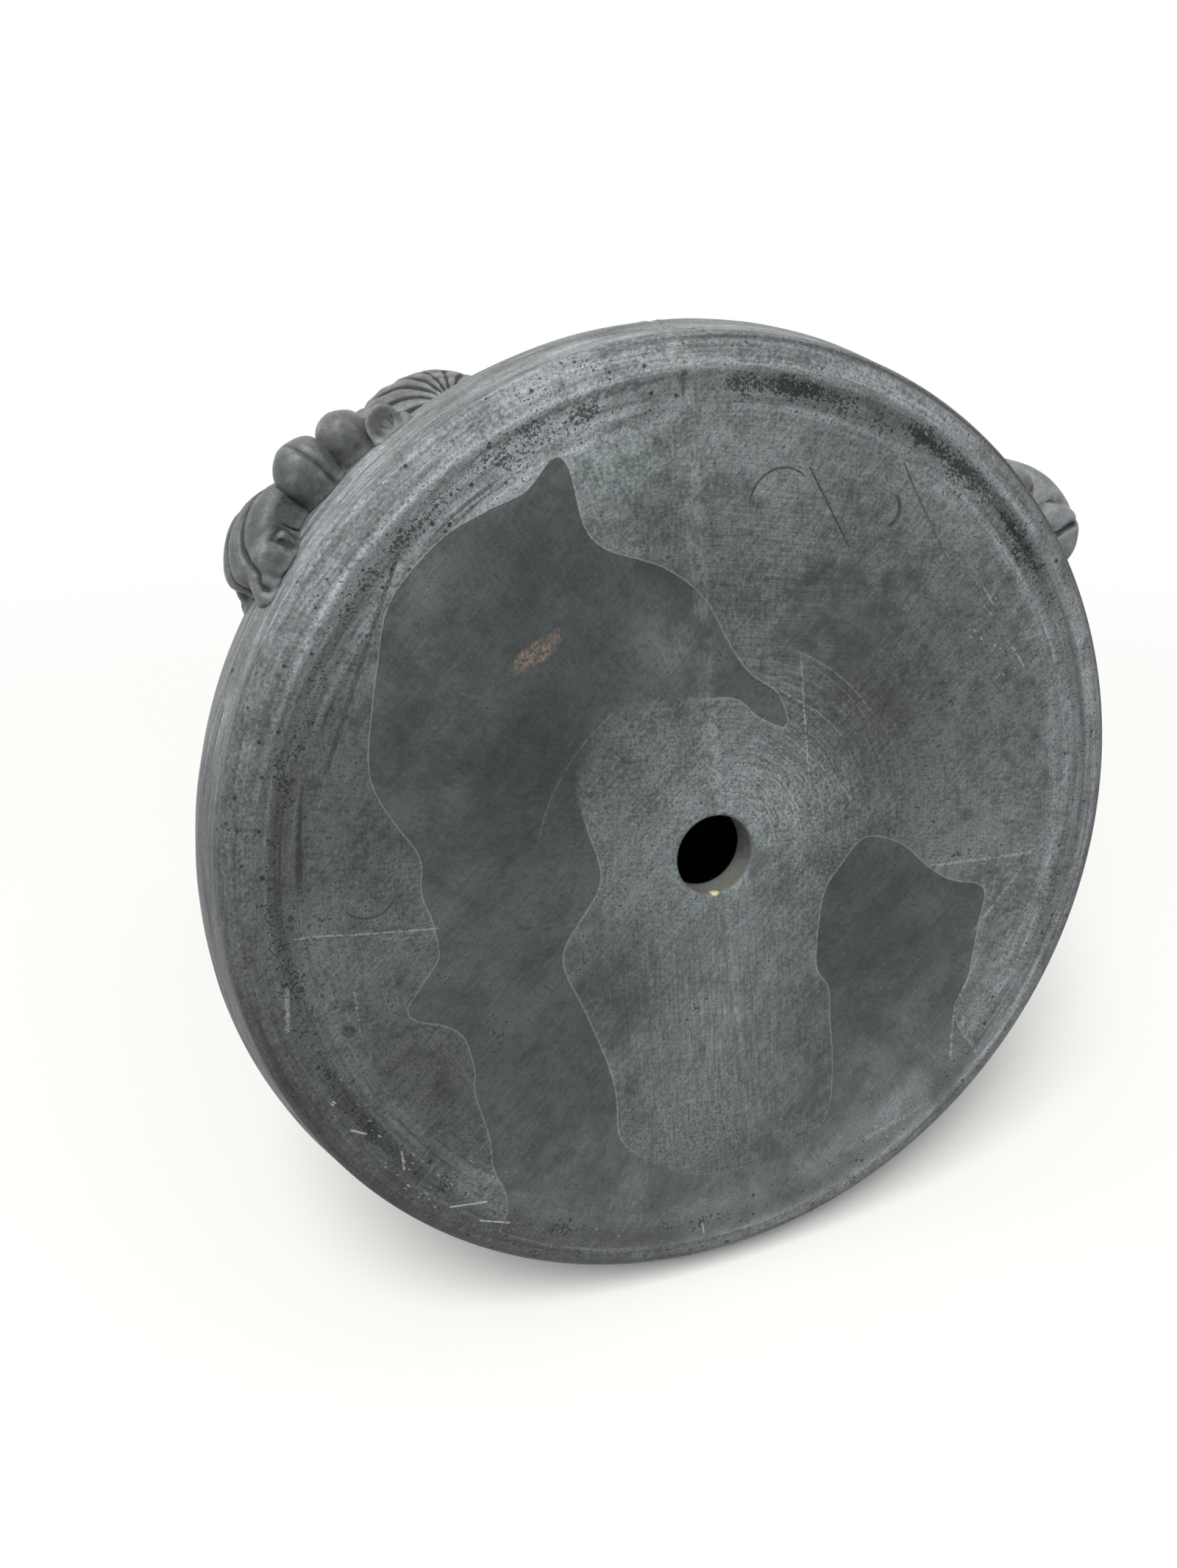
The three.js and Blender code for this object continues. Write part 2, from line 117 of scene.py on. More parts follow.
# Stations of the rolled relief: degrees from front, height, proud, half width, half depth
LEAF_ROUTE = [
    (43.0, 84, -2.0, 6.0, 3.0), (46.0, 64, 1.5, 11.0, 4.6), (49.8, 44, 5.0, 13.0, 6.0),
    (53.6, 31, 7.2, 13.0, 7.0), (57.0, 24, 5.0, 11.0, 6.2), (59.0, 21, 0.0, 7.5, 4.6),
]
LOBE_ROUTES = [
    [
        (52.0, 18, 1.6, 4.6, 3.6), (55.2, 17, 5.0, 5.2, 4.0),
        (57.8, 16, 1.8, 4.6, 3.6), (59.2, 16, -2.4, 3.0, 3.0),
    ],
    [
        (53.0, 40, 2.6, 5.2, 3.8), (56.6, 36, 5.0, 5.6, 4.2),
        (59.4, 31, 1.8, 4.8, 3.6), (60.8, 28, -2.4, 3.0, 3.0),
    ],
]
STEM_RISE = [
    (39.5, 66, 0.0, 7.0, 4.6), (43.0, 98, 0.0, 6.8, 4.6), (41.5, 134, 0.0, 6.6, 4.6),
    (32.5, 174, 0.4, 6.4, 4.8), (26.5, 214, 0.8, 6.2, 4.8), (26.5, 252, 0.8, 6.0, 4.8),
]
LEAFLET_ROUTES = [
    [
        (42.0, 116, 0.0, 4.0, 3.0), (48.0, 128, 1.0, 10.0, 3.6),
        (53.0, 148, 1.4, 9.0, 3.4), (55.0, 168, 0.0, 3.0, 2.4),
    ],
    [
        (29.5, 190, 0.5, 4.0, 3.0), (21.5, 200, 1.6, 10.0, 3.8),
        (15.5, 218, 1.8, 9.0, 3.6), (14.5, 238, 0.0, 3.0, 2.4),
    ],
]
CURL = {"angle": 37.0, "height": 284.0, "radius": 20.0, "end": 5.0, "turns": 1.3, "proud": 1.2}
CURL_WIDTHS = (5.8, 3.8)
CURL_STATIONS = 14

# How fast a roll of clay widens from its rounded ends
END_ROUNDING = 1.6

# Outline of the dark burnished stain under the foot, run round the rim where it leaves the slab
STAIN_OUTLINE = [
    (-102, -58), (-98, -76), (-85, -91), (-73, -98), (-62, -103), (-57, -109), (-54, -112), (-50, -109),
    (-46, -95), (-39, -88), (-22, -83), (-9, -74), (1, -59), (8, -51), (17, -45), (21, -35), (12, -38),
    (6, -43), (1, -45), (-7, -45), (-19, -46), (-32, -43), (-41, -34), (-46, -22), (-43, -8), (-40, 0),
    (-39, 9), (-45, 19), (-50, 27), (-50, 35), (-44, 48), (-36, 68), (-33, 81), (-32, 94), (-22, 104),
    (-5, 113), (15, 114), (35, 110), (44, 99), (45, 83), (43, 64), (42, 54), (37, 46), (37, 30), (39, 19),
    (44, 12), (51, 4), (60, 5), (68, 9), (76, 16), (86, 22), (99, 26), (98, 40), (96, 58), (93, 74),
    (104, 104), (60, 165), (0, 185), (-60, 170), (-80, 136), (-69, 110), (-73, 95), (-74, 84), (-78, 69),
    (-78, 61), (-81, 50), (-87, 45), (-95, 42), (-97, 38), (-93, 32), (-88, 25), (-88, 19), (-89, 13),
    (-92, 4), (-92, -6), (-98, -16), (-104, -27), (-105, -37),
]


def knot_slopes(knots):
    """Slopes at the knots that keep the curve from overshooting between them."""
    secants = np.diff(knots[:, 1]) / np.diff(knots[:, 0])
    product = secants[:-1] * secants[1:]
    between = np.where(product > 0, 2 * product / (secants[:-1] + secants[1:]), 0.0)
    return np.concatenate([secants[:1], between, secants[-1:]])


WALL_SLOPES = knot_slopes(WALL_KNOTS)


def wall_radius(height):
    """Outer radius of the wall at a height."""
    height = np.clip(np.asarray(height, float), WALL_KNOTS[0, 0], WALL_KNOTS[-1, 0])
    span = np.clip(np.searchsorted(WALL_KNOTS[:, 0], height, side="right") - 1, 0, len(WALL_KNOTS) - 2)
    low, high = WALL_KNOTS[span], WALL_KNOTS[span + 1]
    rise = high[..., 0] - low[..., 0]
    s = (height - low[..., 0]) / rise
    return (
        (2 * s**3 - 3 * s**2 + 1) * low[..., 1]
        + (s**3 - 2 * s**2 + s) * rise * WALL_SLOPES[span]
        + (3 * s**2 - 2 * s**3) * high[..., 1]
        + (s**3 - s**2) * rise * WALL_SLOPES[span + 1]
    )


def on_wall(angle, height, proud):
    """Point beside the wall: degrees from the front, height, distance proud of the surface."""
    azimuth = np.radians(np.asarray(angle, float) - 90)
    r = wall_radius(height) + proud
    level = np.asarray(height, float) + 0 * r
    return np.stack([r * np.cos(azimuth), r * np.sin(azimuth), level], axis=-1)


def away_from_axis(points):
    """Level unit vectors that point away from the vase's axis."""
    level = points * np.array([1, 1, 0])
    return level / np.linalg.norm(level, axis=1)[:, None]


def azimuths(points):
    """Directions of points seen from the axis, in degrees."""
    return np.degrees(np.arctan2(points[:, 1], points[:, 0]))


def rough(points, size, seed=0.0):
    """Smooth noise between -1 and 1 at each point, with features about as long as size."""
    shifted = np.asarray(points) / size + seed
    return np.array([noise.noise(Vector(p)) for p in shifted.reshape(-1, 3)]).reshape(shifted.shape[:-1])


def bump_at(distance, width):
    """Bell shape: 1 at distance 0, fading over the width."""
    return np.exp(-((distance / width) ** 2))


def ramp_up(value, length):
    """Straight rise from 0 to 1 over a length."""
    return np.clip(value / length, 0, 1)


def curve_between(a, b, c, d, t):
    """Points at shares t of a smooth curve from b to c that comes from a and goes on to d."""
    return 0.5 * (
        2 * b + (c - a) * t
        + (2 * a - 5 * b + 4 * c - d) * t**2
        + (3 * b - a - 3 * c + d) * t**3
    )


def smooth_line(rows, shares):
    """Points on a smooth curve through the rows, at shares of its length from 0 to 1."""
    rows = np.asarray(rows, float)
    padded = np.vstack([2 * rows[0] - rows[1], rows, 2 * rows[-1] - rows[-2]])
    place = np.clip(np.asarray(shares), 0, 1) * (len(rows) - 1)
    span = np.minimum(place.astype(int), len(rows) - 2)
    return curve_between(*(padded[span + k] for k in range(4)), (place - span)[:, None])


def closed_outline(points, steps):
    """Smooth closed outline through the points."""
    points = np.asarray(points, float)
    padded = np.vstack([points[-1:], points, points[:2]])
    t = np.linspace(0, 1, steps, endpoint=False)[:, None]
    return np.vstack([curve_between(*padded[i:i + 4], t) for i in range(len(points))])


def distance_inside(outline, points):
    """Distance of each flat point from an outline, positive inside it."""
    start, end = outline, np.roll(outline, -1, axis=0)
    nearest = np.full(len(points), np.inf)
    crossings = np.zeros(len(points), int)
    for a, b in zip(start, end):
        along = b - a
        rel = points - a
        share = np.clip(rel @ along / max(along @ along, 1e-9), 0, 1)
        nearest = np.minimum(nearest, np.hypot(*(rel - share[:, None] * along).T))
        if a[1] != b[1]:
            straddles = (a[1] > points[:, 1]) != (b[1] > points[:, 1])
            crossing_x = a[0] + (points[:, 1] - a[1]) / (b[1] - a[1]) * along[0]
            crossings += straddles & (points[:, 0] < crossing_x)
    return np.where(crossings % 2 == 1, nearest, -nearest)


def spokes(count):
    """Azimuths of a turned mesh's columns, closer together beside the mould seam."""
    even = np.arange(count) * 360 / count - 180
    close = np.concatenate([seam + SEAM_COLUMNS for seam in (SEAM_ANGLE - 90, SEAM_ANGLE + 90)])
    far = [a for a in even if np.abs(close - a).min() > 0.3]
    return np.radians(np.sort(np.concatenate([far, close])))


def rings_at(rows, columns):
    """Level rings round the axis, one for each row of radius and height."""
    return np.array([
        np.stack([r * np.cos(columns), r * np.sin(columns), np.full_like(columns, z)], axis=-1)
        for r, z in rows
    ])


def seam_distance(x, y):
    """Distance from the plane that holds the axis and the mould seam."""
    across = math.radians(SEAM_ANGLE)
    return x * math.cos(across) + y * math.sin(across)


def link(name, mesh):
    piece = bpy.data.objects.new(name, mesh)
    bpy.context.scene.collection.objects.link(piece)
    return piece


def read_vectors(mesh, name):
    """One vector for each vertex: its place, co, or its normal."""
    flat = np.empty(len(mesh.vertices) * 3)
    mesh.vertices.foreach_get(name, flat)
    return flat.reshape(-1, 3)


def read_points(mesh):
    """Vertex places in millimetres."""
    return read_vectors(mesh, "co") / MM


def write_points(mesh, points):
    mesh.vertices.foreach_set("co", (np.asarray(points) * MM).ravel())
    mesh.update()


def paint(mesh, name, values):
    """Stores one number for each vertex, read by the materials."""
    layer = mesh.attributes.new(name, "FLOAT", "POINT")
    layer.data.foreach_set("value", np.asarray(values, float).ravel())


def quads_between(index):
    """Faces between rows of vertices, each row closed on itself."""
    beside = np.roll(index, -1, axis=1)
    return np.stack([index[:-1], beside[:-1], beside[1:], index[1:]], axis=-1).reshape(-1, 4).tolist()


def closed_mesh(name, points, faces):
    """Smooth closed mesh through points in millimetres, with its faces turned outwards."""
    mesh = bpy.data.meshes.new(name)
    mesh.from_pydata((points * MM).tolist(), [], faces)
    mesh.calc_loop_triangles()
    corners = np.empty(len(mesh.loop_triangles) * 3, int)
    mesh.loop_triangles.foreach_get("vertices", corners)
    a, b, c = read_points(mesh)[corners.reshape(-1, 3)].transpose(1, 0, 2)
    if np.einsum("ij,ij->", a, np.cross(b, c)) < 0:
        mesh.flip_normals()
    mesh.shade_smooth()
    return mesh


def turned_mesh(name, rings):
    """Closed mesh through rings of points, where the last ring joins the first."""
    index = np.arange(rings.shape[0] * rings.shape[1]).reshape(rings.shape[:2])
    return closed_mesh(name, rings.reshape(-1, 3), quads_between(np.vstack([index, index[:1]])))


def finish_piece(name, mesh, kind, *nodes):
    """Puts a finished mesh in the scene, with its clay, its body and the nodes that it stands for."""
    mesh.materials.clear()
    mesh.materials.append(material_for(kind))
    piece = link(name, mesh)
    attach(piece, "root")
    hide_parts(*nodes)


class Wiring:
    """Adds nodes to one tree. A value that is a socket is linked, any other is set."""

    def __init__(self, tree):
        self.tree = tree

    def plug(self, socket, value):
        if isinstance(value, bpy.types.NodeSocket):
            self.tree.links.new(value, socket)
        else:
            socket.default_value = value

    def add(self, kind, inputs=None, **settings):
        node = self.tree.nodes.new(kind)
        for key, value in settings.items():
            setattr(node, key, value)
        for key, value in (inputs or {}).items():
            self.plug(node.inputs[key], value)
        return node

    def math(self, operation, *values, clamp=False):
        node = self.add("ShaderNodeMath", dict(enumerate(values)), operation=operation, use_clamp=clamp)
        return node.outputs[0]

    def product(self, *values):
        return reduce(lambda total, value: self.math("MULTIPLY", total, value), values)

    def most(self, *values):
        return reduce(lambda total, value: self.math("MAXIMUM", total, value), values)

    def scaled(self, value, gain, shift):
        """Value times the gain, plus the shift."""
        return self.math("MULTIPLY_ADD", value, gain, shift)

    def sway(self, value, amount):
        """Factor about 1 that follows a noise about 0.5."""
        return self.scaled(self.math("SUBTRACT", value, 0.5), amount, 1.0)

    def span(self, value, low, high, to_low=0.0, to_high=1.0):
        """Smooth step of a value from low to high."""
        inputs = {"Value": value, 1: low, 2: high, 3: to_low, 4: to_high}
        return self.add("ShaderNodeMapRange", inputs, interpolation_type="SMOOTHSTEP").outputs[0]

    def fade(self, value, low, high):
        """Smooth step of a value that falls from 1 at low to 0 at high."""
        return self.span(value, low, high, 1.0, 0.0)

    def mix(self, share, a, b):
        return self.add("ShaderNodeMix", {0: share, 2: a, 3: b}, data_type="FLOAT").outputs[0]

    def tint(self, share, a, b):
        inputs = {0: share, 6: colour(a), 7: colour(b)}
        return self.add("ShaderNodeMix", inputs, data_type="RGBA").outputs[2]

    def laid(self, base, coat, amount, strength):
        """Base colour under a coat that is as dense as the amount times the strength."""
        return self.tint(self.math("MULTIPLY", amount, strength, clamp=True), base, coat)

    def vector(self, operation, *values, output="Vector"):
        inputs = dict(enumerate(values))
        if operation == "SCALE":
            inputs["Scale"] = inputs.pop(1)
        return self.add("ShaderNodeVectorMath", inputs, operation=operation).outputs[output]

    def dot(self, a, b):
        return self.vector("DOT_PRODUCT", a, b, output="Value")

    def gap(self, a, b):
        """Distance between two places."""
        return self.vector("LENGTH", self.vector("SUBTRACT", a, b), output="Value")

    def turned(self, vector, angle):
        """Vector turned about the upright axis."""
        inputs = {"Vector": vector, "Angle": angle}
        return self.add("ShaderNodeVectorRotate", inputs, rotation_type="Z_AXIS").outputs[0]

    def parts(self, vector):
        return self.add("ShaderNodeSeparateXYZ", {0: vector}).outputs

    def joined(self, x, y, z):
        return self.add("ShaderNodeCombineXYZ", {0: x, 1: y, 2: z}).outputs[0]

    def noise(self, vector, scale, detail=3.0, roughness=0.5, distortion=0.0):
        inputs = {
            "Vector": vector, "Scale": scale, "Detail": detail, "Roughness": roughness,
            "Distortion": distortion,
        }
        return self.add("ShaderNodeTexNoise", inputs).outputs[0]

    def bump(self, height, strength, distance):
        inputs = {"Strength": strength, "Distance": distance, "Height": height}
        return self.add("ShaderNodeBump", inputs).outputs[0]

    def attribute(self, name):
        return self.add("ShaderNodeAttribute", attribute_name=name).outputs["Fac"]

    def effect(self, name, **inputs):
        """Outputs of one of the shared effects."""
        node = self.add("ShaderNodeGroup", node_tree=effects()[name])
        for key, value in inputs.items():
            self.plug(node.inputs[key.replace("_", " ")], value)
        return node.outputs


def colour(value):
    """Colour sockets take four numbers."""
    if isinstance(value, bpy.types.NodeSocket):
        return value
    return (*value, 1.0) if len(value) == 3 else value


SOCKETS = {
    "value": "NodeSocketFloat", "vector": "NodeSocketVector", "mesh": "NodeSocketGeometry",
    "count": "NodeSocketInt", "material": "NodeSocketMaterial",
}


def open_group(name, tree_kind, inputs, outputs):
    """New node group: its wiring, its input sockets and its output node.

    An input is given by its default number, or by its kind where it has none.
    """
    tree = bpy.data.node_groups.new(name, tree_kind)
    for label, given in inputs.items():
        kind = given if isinstance(given, str) else {int: "count", float: "value"}[type(given)]
        socket = tree.interface.new_socket(label, in_out="INPUT", socket_type=SOCKETS[kind])
        if kind != given:
            socket.default_value = given
    for label, kind in outputs.items():
        tree.interface.new_socket(label, in_out="OUTPUT", socket_type=SOCKETS[kind])
    wiring = Wiring(tree)
    return wiring, wiring.add("NodeGroupInput").outputs, wiring.add("NodeGroupOutput").inputs


def open_effect(name, inputs, *outputs):
    """New shader node group whose outputs are numbers."""
    return open_group(name, "ShaderNodeTree", inputs, dict.fromkeys(outputs, "value"))


def clay_mottle():
    """Uneven tone of the fired clay: broad clouds, mottling and fine grain, each about 0.5."""
    sockets = {"Vector": "vector", "Cloud Scale": 20.0, "Mottle Scale": 120.0, "Grain Scale": 950.0}
    w, given, out = open_effect("clay mottle", sockets, "Cloud", "Mottle", "Grain")
    w.plug(out["Cloud"], w.noise(given["Vector"], given["Cloud Scale"], 6.0, 0.62, 0.5))
    w.plug(out["Mottle"], w.noise(given["Vector"], given["Mottle Scale"], 6.0, 0.72))
    w.plug(out["Grain"], w.noise(given["Vector"], given["Grain Scale"], 4.0, 0.75))
    return w.tree


def pin_holes():
    """Small pits left by grit and air, 1 in the middle of a pit."""
    sockets = {"Vector": "vector", "Scale": 300.0, "Radius": 0.16, "Share": 0.3}
    w, given, out = open_effect("pin holes", sockets, "Holes")
    cells = w.add("ShaderNodeTexVoronoi", {"Vector": given["Vector"], "Scale": given["Scale"]})
    lot = w.parts(cells.outputs["Color"])
    radius = w.product(given["Radius"], w.math("ADD", lot[1], 0.4))
    hole = w.fade(w.math("DIVIDE", cells.outputs["Distance"], radius), 0.55, 1.0)
    w.plug(out["Holes"], w.product(hole, w.math("LESS_THAN", lot[0], given["Share"])))
    return w.tree


def turning_marks():
    """Fine lines that run round the vase, as values about 0.5."""
    sockets = {"Vector": "vector", "Across": 500.0, "Along": 6.0}
    w, given, out = open_effect("turning marks", sockets, "Lines")
    x, y, z = w.parts(given["Vector"])
    level = w.joined(x, y, 0.0)
    ax, ay, _ = w.parts(w.vector("NORMALIZE", level))
    radius = w.vector("LENGTH", level, output="Value")
    depth = w.product(w.math("ADD", radius, z), given["Across"])
    place = w.joined(w.product(ax, given["Along"]), w.product(ay, given["Along"]), depth)
    w.plug(out["Lines"], w.noise(place, 1.0, 3.0, 0.6, 0.3))
    return w.tree


def brush_strokes():
    """Fine straight strokes that run one way, as values about 0.5."""
    sockets = {"Vector": "vector", "Angle": 0.0, "Across": 1300.0, "Along": 60.0}
    w, given, out = open_effect("strokes", sockets, "Strokes")
    scale = w.joined(given["Across"], given["Along"], given["Across"])
    place = w.vector("MULTIPLY", w.turned(given["Vector"], given["Angle"]), scale)
    w.plug(out["Strokes"], w.noise(place, 1.0, 2.0, 0.6))
    return w.tree


def broken_line(w, given, beside, breaks):
    """Thin line from the distance beside it, faint where the grain is below breaks."""
    line = w.fade(w.math("DIVIDE", beside, given["Width"]), 0.4, 1.0)
    kept = w.math("GREATER_THAN", given["Grain"], breaks)
    return w.product(line, w.scaled(kept, 0.85, 0.15))


def straight_scratch():
    """One scratch from Start to End that breaks up where the grain is low."""
    sockets = {
        "Vector": "vector", "Start": "vector", "End": "vector", "Width": 0.0005, "Grain": 0.5, "Breaks": 0.3,
    }
    w, given, out = open_effect("scratch", sockets, "Line")
    along = w.vector("SUBTRACT", given["End"], given["Start"])
    rel = w.vector("SUBTRACT", given["Vector"], given["Start"])
    share = w.math("DIVIDE", w.dot(rel, along), w.dot(along, along), clamp=True)
    beside = w.gap(rel, w.vector("SCALE", along, share))
    w.plug(out["Line"], broken_line(w, given, beside, given["Breaks"]))
    return w.tree


def curved_scratch():
    """Thin curved line: part of a circle, kept within Reach of its Middle."""
    sockets = {
        "Vector": "vector", "Centre": "vector", "Radius": 0.01, "Middle": "vector", "Reach": 0.01,
        "Width": 0.0004, "Grain": 0.5, "Breaks": 0.44,
    }
    w, given, out = open_effect("curved scratch", sockets, "Line")
    outside = w.math("SUBTRACT", w.gap(given["Vector"], given["Centre"]), given["Radius"])
    line = broken_line(w, given, w.math("ABSOLUTE", outside), given["Breaks"])
    reach = w.math("DIVIDE", w.gap(given["Vector"], given["Middle"]), given["Reach"])
    w.plug(out["Line"], w.product(line, w.fade(reach, 0.7, 1.0)))
    return w.tree


def smudge():
    """Soft round patch with a ragged edge."""
    sockets = {"Vector": "vector", "Centre": "vector", "Radius": 0.01, "Grain": 0.5, "Ragged": 0.6}
    w, given, out = open_effect("smudge", sockets, "Patch")
    reach = w.math("DIVIDE", w.gap(given["Vector"], given["Centre"]), given["Radius"])
    ragged = w.product(w.math("SUBTRACT", given["Grain"], 0.5), given["Ragged"])
    w.plug(out["Patch"], w.fade(w.math("ADD", reach, ragged), 0.45, 1.05))
    return w.tree


def stain_edge():
    """Fill of a stain and the pale line along its crisp edges, from the distance inside it in millimetres."""
    sockets = {"Distance": 0.0, "Softness": 0.15, "Grain": 0.5}
    w, given, out = open_effect("stain edge", sockets, "Fill", "Line")
    ragged = w.product(w.math("SUBTRACT", given["Grain"], 0.5), w.math("ADD", given["Softness"], 0.6))
    shaken = w.math("ADD", given["Distance"], ragged)
    w.plug(out["Fill"], w.span(w.math("DIVIDE", shaken, given["Softness"]), -1.0, 1.0))
    beside = w.math("ABSOLUTE", w.math("ADD", shaken, 0.3))
    crisp = w.span(given["Softness"], 1.0, 0.3)
    w.plug(out["Line"], w.product(w.fade(beside, 0.05, 0.4), crisp))
    return w.tree


@cache
def effects():
    """The shared shader effects, built once."""
    return {
        "mottle": clay_mottle(), "holes": pin_holes(), "turning": turning_marks(), "strokes": brush_strokes(),
        "scratch": straight_scratch(), "arc": curved_scratch(), "smudge": smudge(), "stain": stain_edge(),
    }


def open_material(name):
    """New material: its wiring, its Object coordinates and its Principled BSDF."""
    material = bpy.data.materials.new(name)
    material.use_nodes = True
    wiring = Wiring(material.node_tree)
    surface = material.node_tree.nodes["Principled BSDF"]
    return material, wiring, wiring.add("ShaderNodeTexCoord").outputs["Object"], surface


def mottled(w, place, cloud, mottle, grain):
    """Clouds, blotches and grain of a clay, each at its own scale."""
    found = w.effect("mottle", Vector=place, Cloud_Scale=cloud, Mottle_Scale=mottle, Grain_Scale=grain)
    return found["Cloud"], found["Mottle"], found["Grain"]


def clay_colour(w, clay, warmth, value):
    """Clay of one lightness, between its cool and its warm hue."""
    return w.vector("SCALE", w.tint(warmth, clay.cool, clay.warm), value)


# Scratches under the foot: start, end, width, share that is broken up, and how pale (or dark) it is
UNDERSIDE_SCRATCHES = [
    ((-127, 12), (-88, 15), 0.35, 0.45, 0.6),
    ((-104, 15.6), (-90, 17), 0.3, 0.5, 0.35),
    ((78, 16), (117, 15), 0.7, 0.46, 0.6),
    ((24, -56), (30, -17), 0.5, 0.5, 0.8),
    ((30, -17), (33, -4), 0.4, 0.5, 0.5),
    ((18, -46), (31, -39), 0.4, 0.48, 0.5),
    ((31, -39), (40, -31), 0.4, 0.5, 0.4),
    ((29, -23), (38, -19), 0.6, 0.45, 0.4),
    ((38, -19), (45, -10), 0.6, 0.45, 0.45),
    ((115, 19), (96, 42), 0.5, 0.5, 0.6),
    ((-87, 104), (-76, 105), 0.42, 0.43, 1.2),
    ((-78, 111), (-69, 114), 0.42, 0.43, 1.2),
    ((-2.6, 131), (-2, 134.5), 0.4, 0.4, 1.0),
    ((-112, 30), (-111, 42), 0.4, 0.5, 0.5),
    ((86, -75), (90.5, -69.5), 0.4, 0.46, 0.7),
    ((91, -74), (87, -69), 0.4, 0.5, 0.6),
    ((99.5, -56), (105, -49.5), 0.4, 0.46, 0.8),
    ((22, -110), (37, -88), 0.45, 0.46, -1.0),
    ((53, -112), (62, -98), 0.4, 0.46, -0.9),
    ((62, -98), (72, -83), 0.4, 0.5, -0.8),
    ((-96, -88), (-116, -34), 0.9, 0.5, -0.9),
    ((99, 52), (92, 68), 0.7, 0.55, 1.0),
    ((92, 68), (92, 88), 0.7, 0.55, 1.0),
    ((59, 113), (84, 103), 1.1, 0.57, 0.9),
    ((-130, 26), (-130.5, 38), 0.9, 0.5, 0.7),
    ((-115, 72), (-111, 74), 0.5, 0.44, 1.1),
    ((-101, 82), (-100.5, 88), 0.5, 0.47, 1.0),
]

# Curved scratches: centre and radius of their circle, middle, reach, width and how pale (or dark) they are
UNDERSIDE_ARCS = [
    ((14, -99.5), 10.5, (10, -109.2), 12, 0.45, -1.0),
    ((-107.3, 0.9), 8.1, (-106, 8.9), 9, 0.45, -0.9),
    ((47.6, -98.8), 5.4, (52.4, -97.8), 6, 1.0, -0.9),
    ((-1, 4), 66, (36, -48), 22, 0.35, 0.3),
    ((-1, 4), 63.5, (40, -42), 20, 0.3, 0.2),
    ((-1, 4), 42, (28, -24), 16, 0.4, 0.35),
    ((-1, 4), 38, (28, -20), 13, 0.5, -0.35),
    ((-1, 4), 20, (14, -10), 14, 0.5, 0.35),
    ((-1, 4), 58, (-50, -28), 26, 0.35, 0.18),
]

# Soft patches under the foot: centre, radius and how pale (or dark) they are
UNDERSIDE_PATCHES = [
    ((-40, 33), 14, -0.45), ((-30, 52), 12, -0.35), ((36, -62), 24, -0.5), ((-114, 42), 2.6, -1.2),
    ((22, 108), 8, -0.35), ((38, 88), 11, -0.45), ((12, 6), 8, -0.7), ((26, -14), 16, 0.25),
    ((-2, 92), 20, 0.18),
]

# Brushing under the foot: direction in degrees, and how fine it is across and along the strokes
BRUSHING = ((4, 1300.0, 80.0), (86, 1500.0, 75.0), (-42, 1100.0, 60.0))

# Flecks lie along a slant in degrees and are drawn out by a share, and so is the tan smear
FLECK_SLANT = 45
FLECK_STRETCH = 0.35
SMEAR_CENTRE = (-59.5, -60.5)
SMEAR_RADIUS = 4.2
SMEAR_SLANT = 36
SMEAR_STRETCH = (0.45, 1.3)

# Drop of glaze in the drain hole
DROP_CENTRE = (-0.5, 16.3, 5.8)
DROP_RADIUS = 1.8


def metres(place):
    """Place in millimetres as a vector in metres. A place under the foot has no height."""
    x, y, z = (*place, 0.0)[:3]
    return (x * MM, y * MM, z * MM)


def foot_patterns(w, place):
    """Mottle, turned lines, brushing and zones that all parts of the foot's clay share."""
    flat = w.vector("MULTIPLY", place, (1.0, 1.0, 0.0))
    cloud, blotch, grain = mottled(w, place, 20.0, 120.0, 950.0)
    lines = w.effect("turning", Vector=place, Across=420.0, Along=2.5)["Lines"]
    round_drain = w.vector("SUBTRACT", place, metres(DRAIN_CENTRE))
    hair = w.effect("turning", Vector=round_drain, Across=1700.0, Along=5.0)["Lines"]
    brushed, ruled, slanted = [
        w.effect("strokes", Vector=place, Angle=math.radians(turn), Across=across, Along=along)["Strokes"]
        for turn, across, along in BRUSHING
    ]
    return SimpleNamespace(
        place=place, flat=flat, cloud=cloud, blotch=blotch, grain=grain, lines=lines, hair=hair,
        brushed=brushed, ruled=ruled, slanted=slanted,
        ring=w.attribute("ring"), edge=w.attribute("edge"), soft=w.attribute("brushed"),
    )


def matte_value(w, foot):
    """Lightness of the matte clay, brushed in some parts and ruled in others."""
    return w.product(
        # matte_tone also holds the painted highlight of the ridge and the painted light and shade of the heel
        w.attribute("matte_tone"), w.scaled(foot.ring, 0.3, 1.0),
        w.sway(foot.cloud, 1.4), w.sway(foot.blotch, w.scaled(foot.soft, -0.8, 2.3)),
        w.sway(foot.grain, w.scaled(foot.soft, -1.4, 3.5)), w.sway(foot.slanted, 0.9),
        w.sway(foot.lines, w.product(foot.edge, 2.2)),
        w.sway(foot.hair, w.product(w.attribute("arcs"), 3.0)),
        w.sway(foot.brushed, w.scaled(foot.soft, 1.1, 0.5)),
        w.sway(foot.ruled, w.scaled(w.attribute("ruled"), 1.2, 0.4)),
    )


def film_value(w, foot):
    """Lightness of the burnished stain, with a smoky bloom."""
    smoke = w.noise(foot.place, 27.0, 3.0, 0.5, 0.9)
    return w.product(
        # stain_tone also holds the painted highlight of the ridge and the painted light and shade of the heel
        w.attribute("stain_tone"), w.sway(smoke, 1.7), w.sway(foot.cloud, 1.3), w.sway(foot.blotch, 2.0),
        w.sway(foot.grain, 1.9), w.sway(foot.slanted, 0.7),
    )


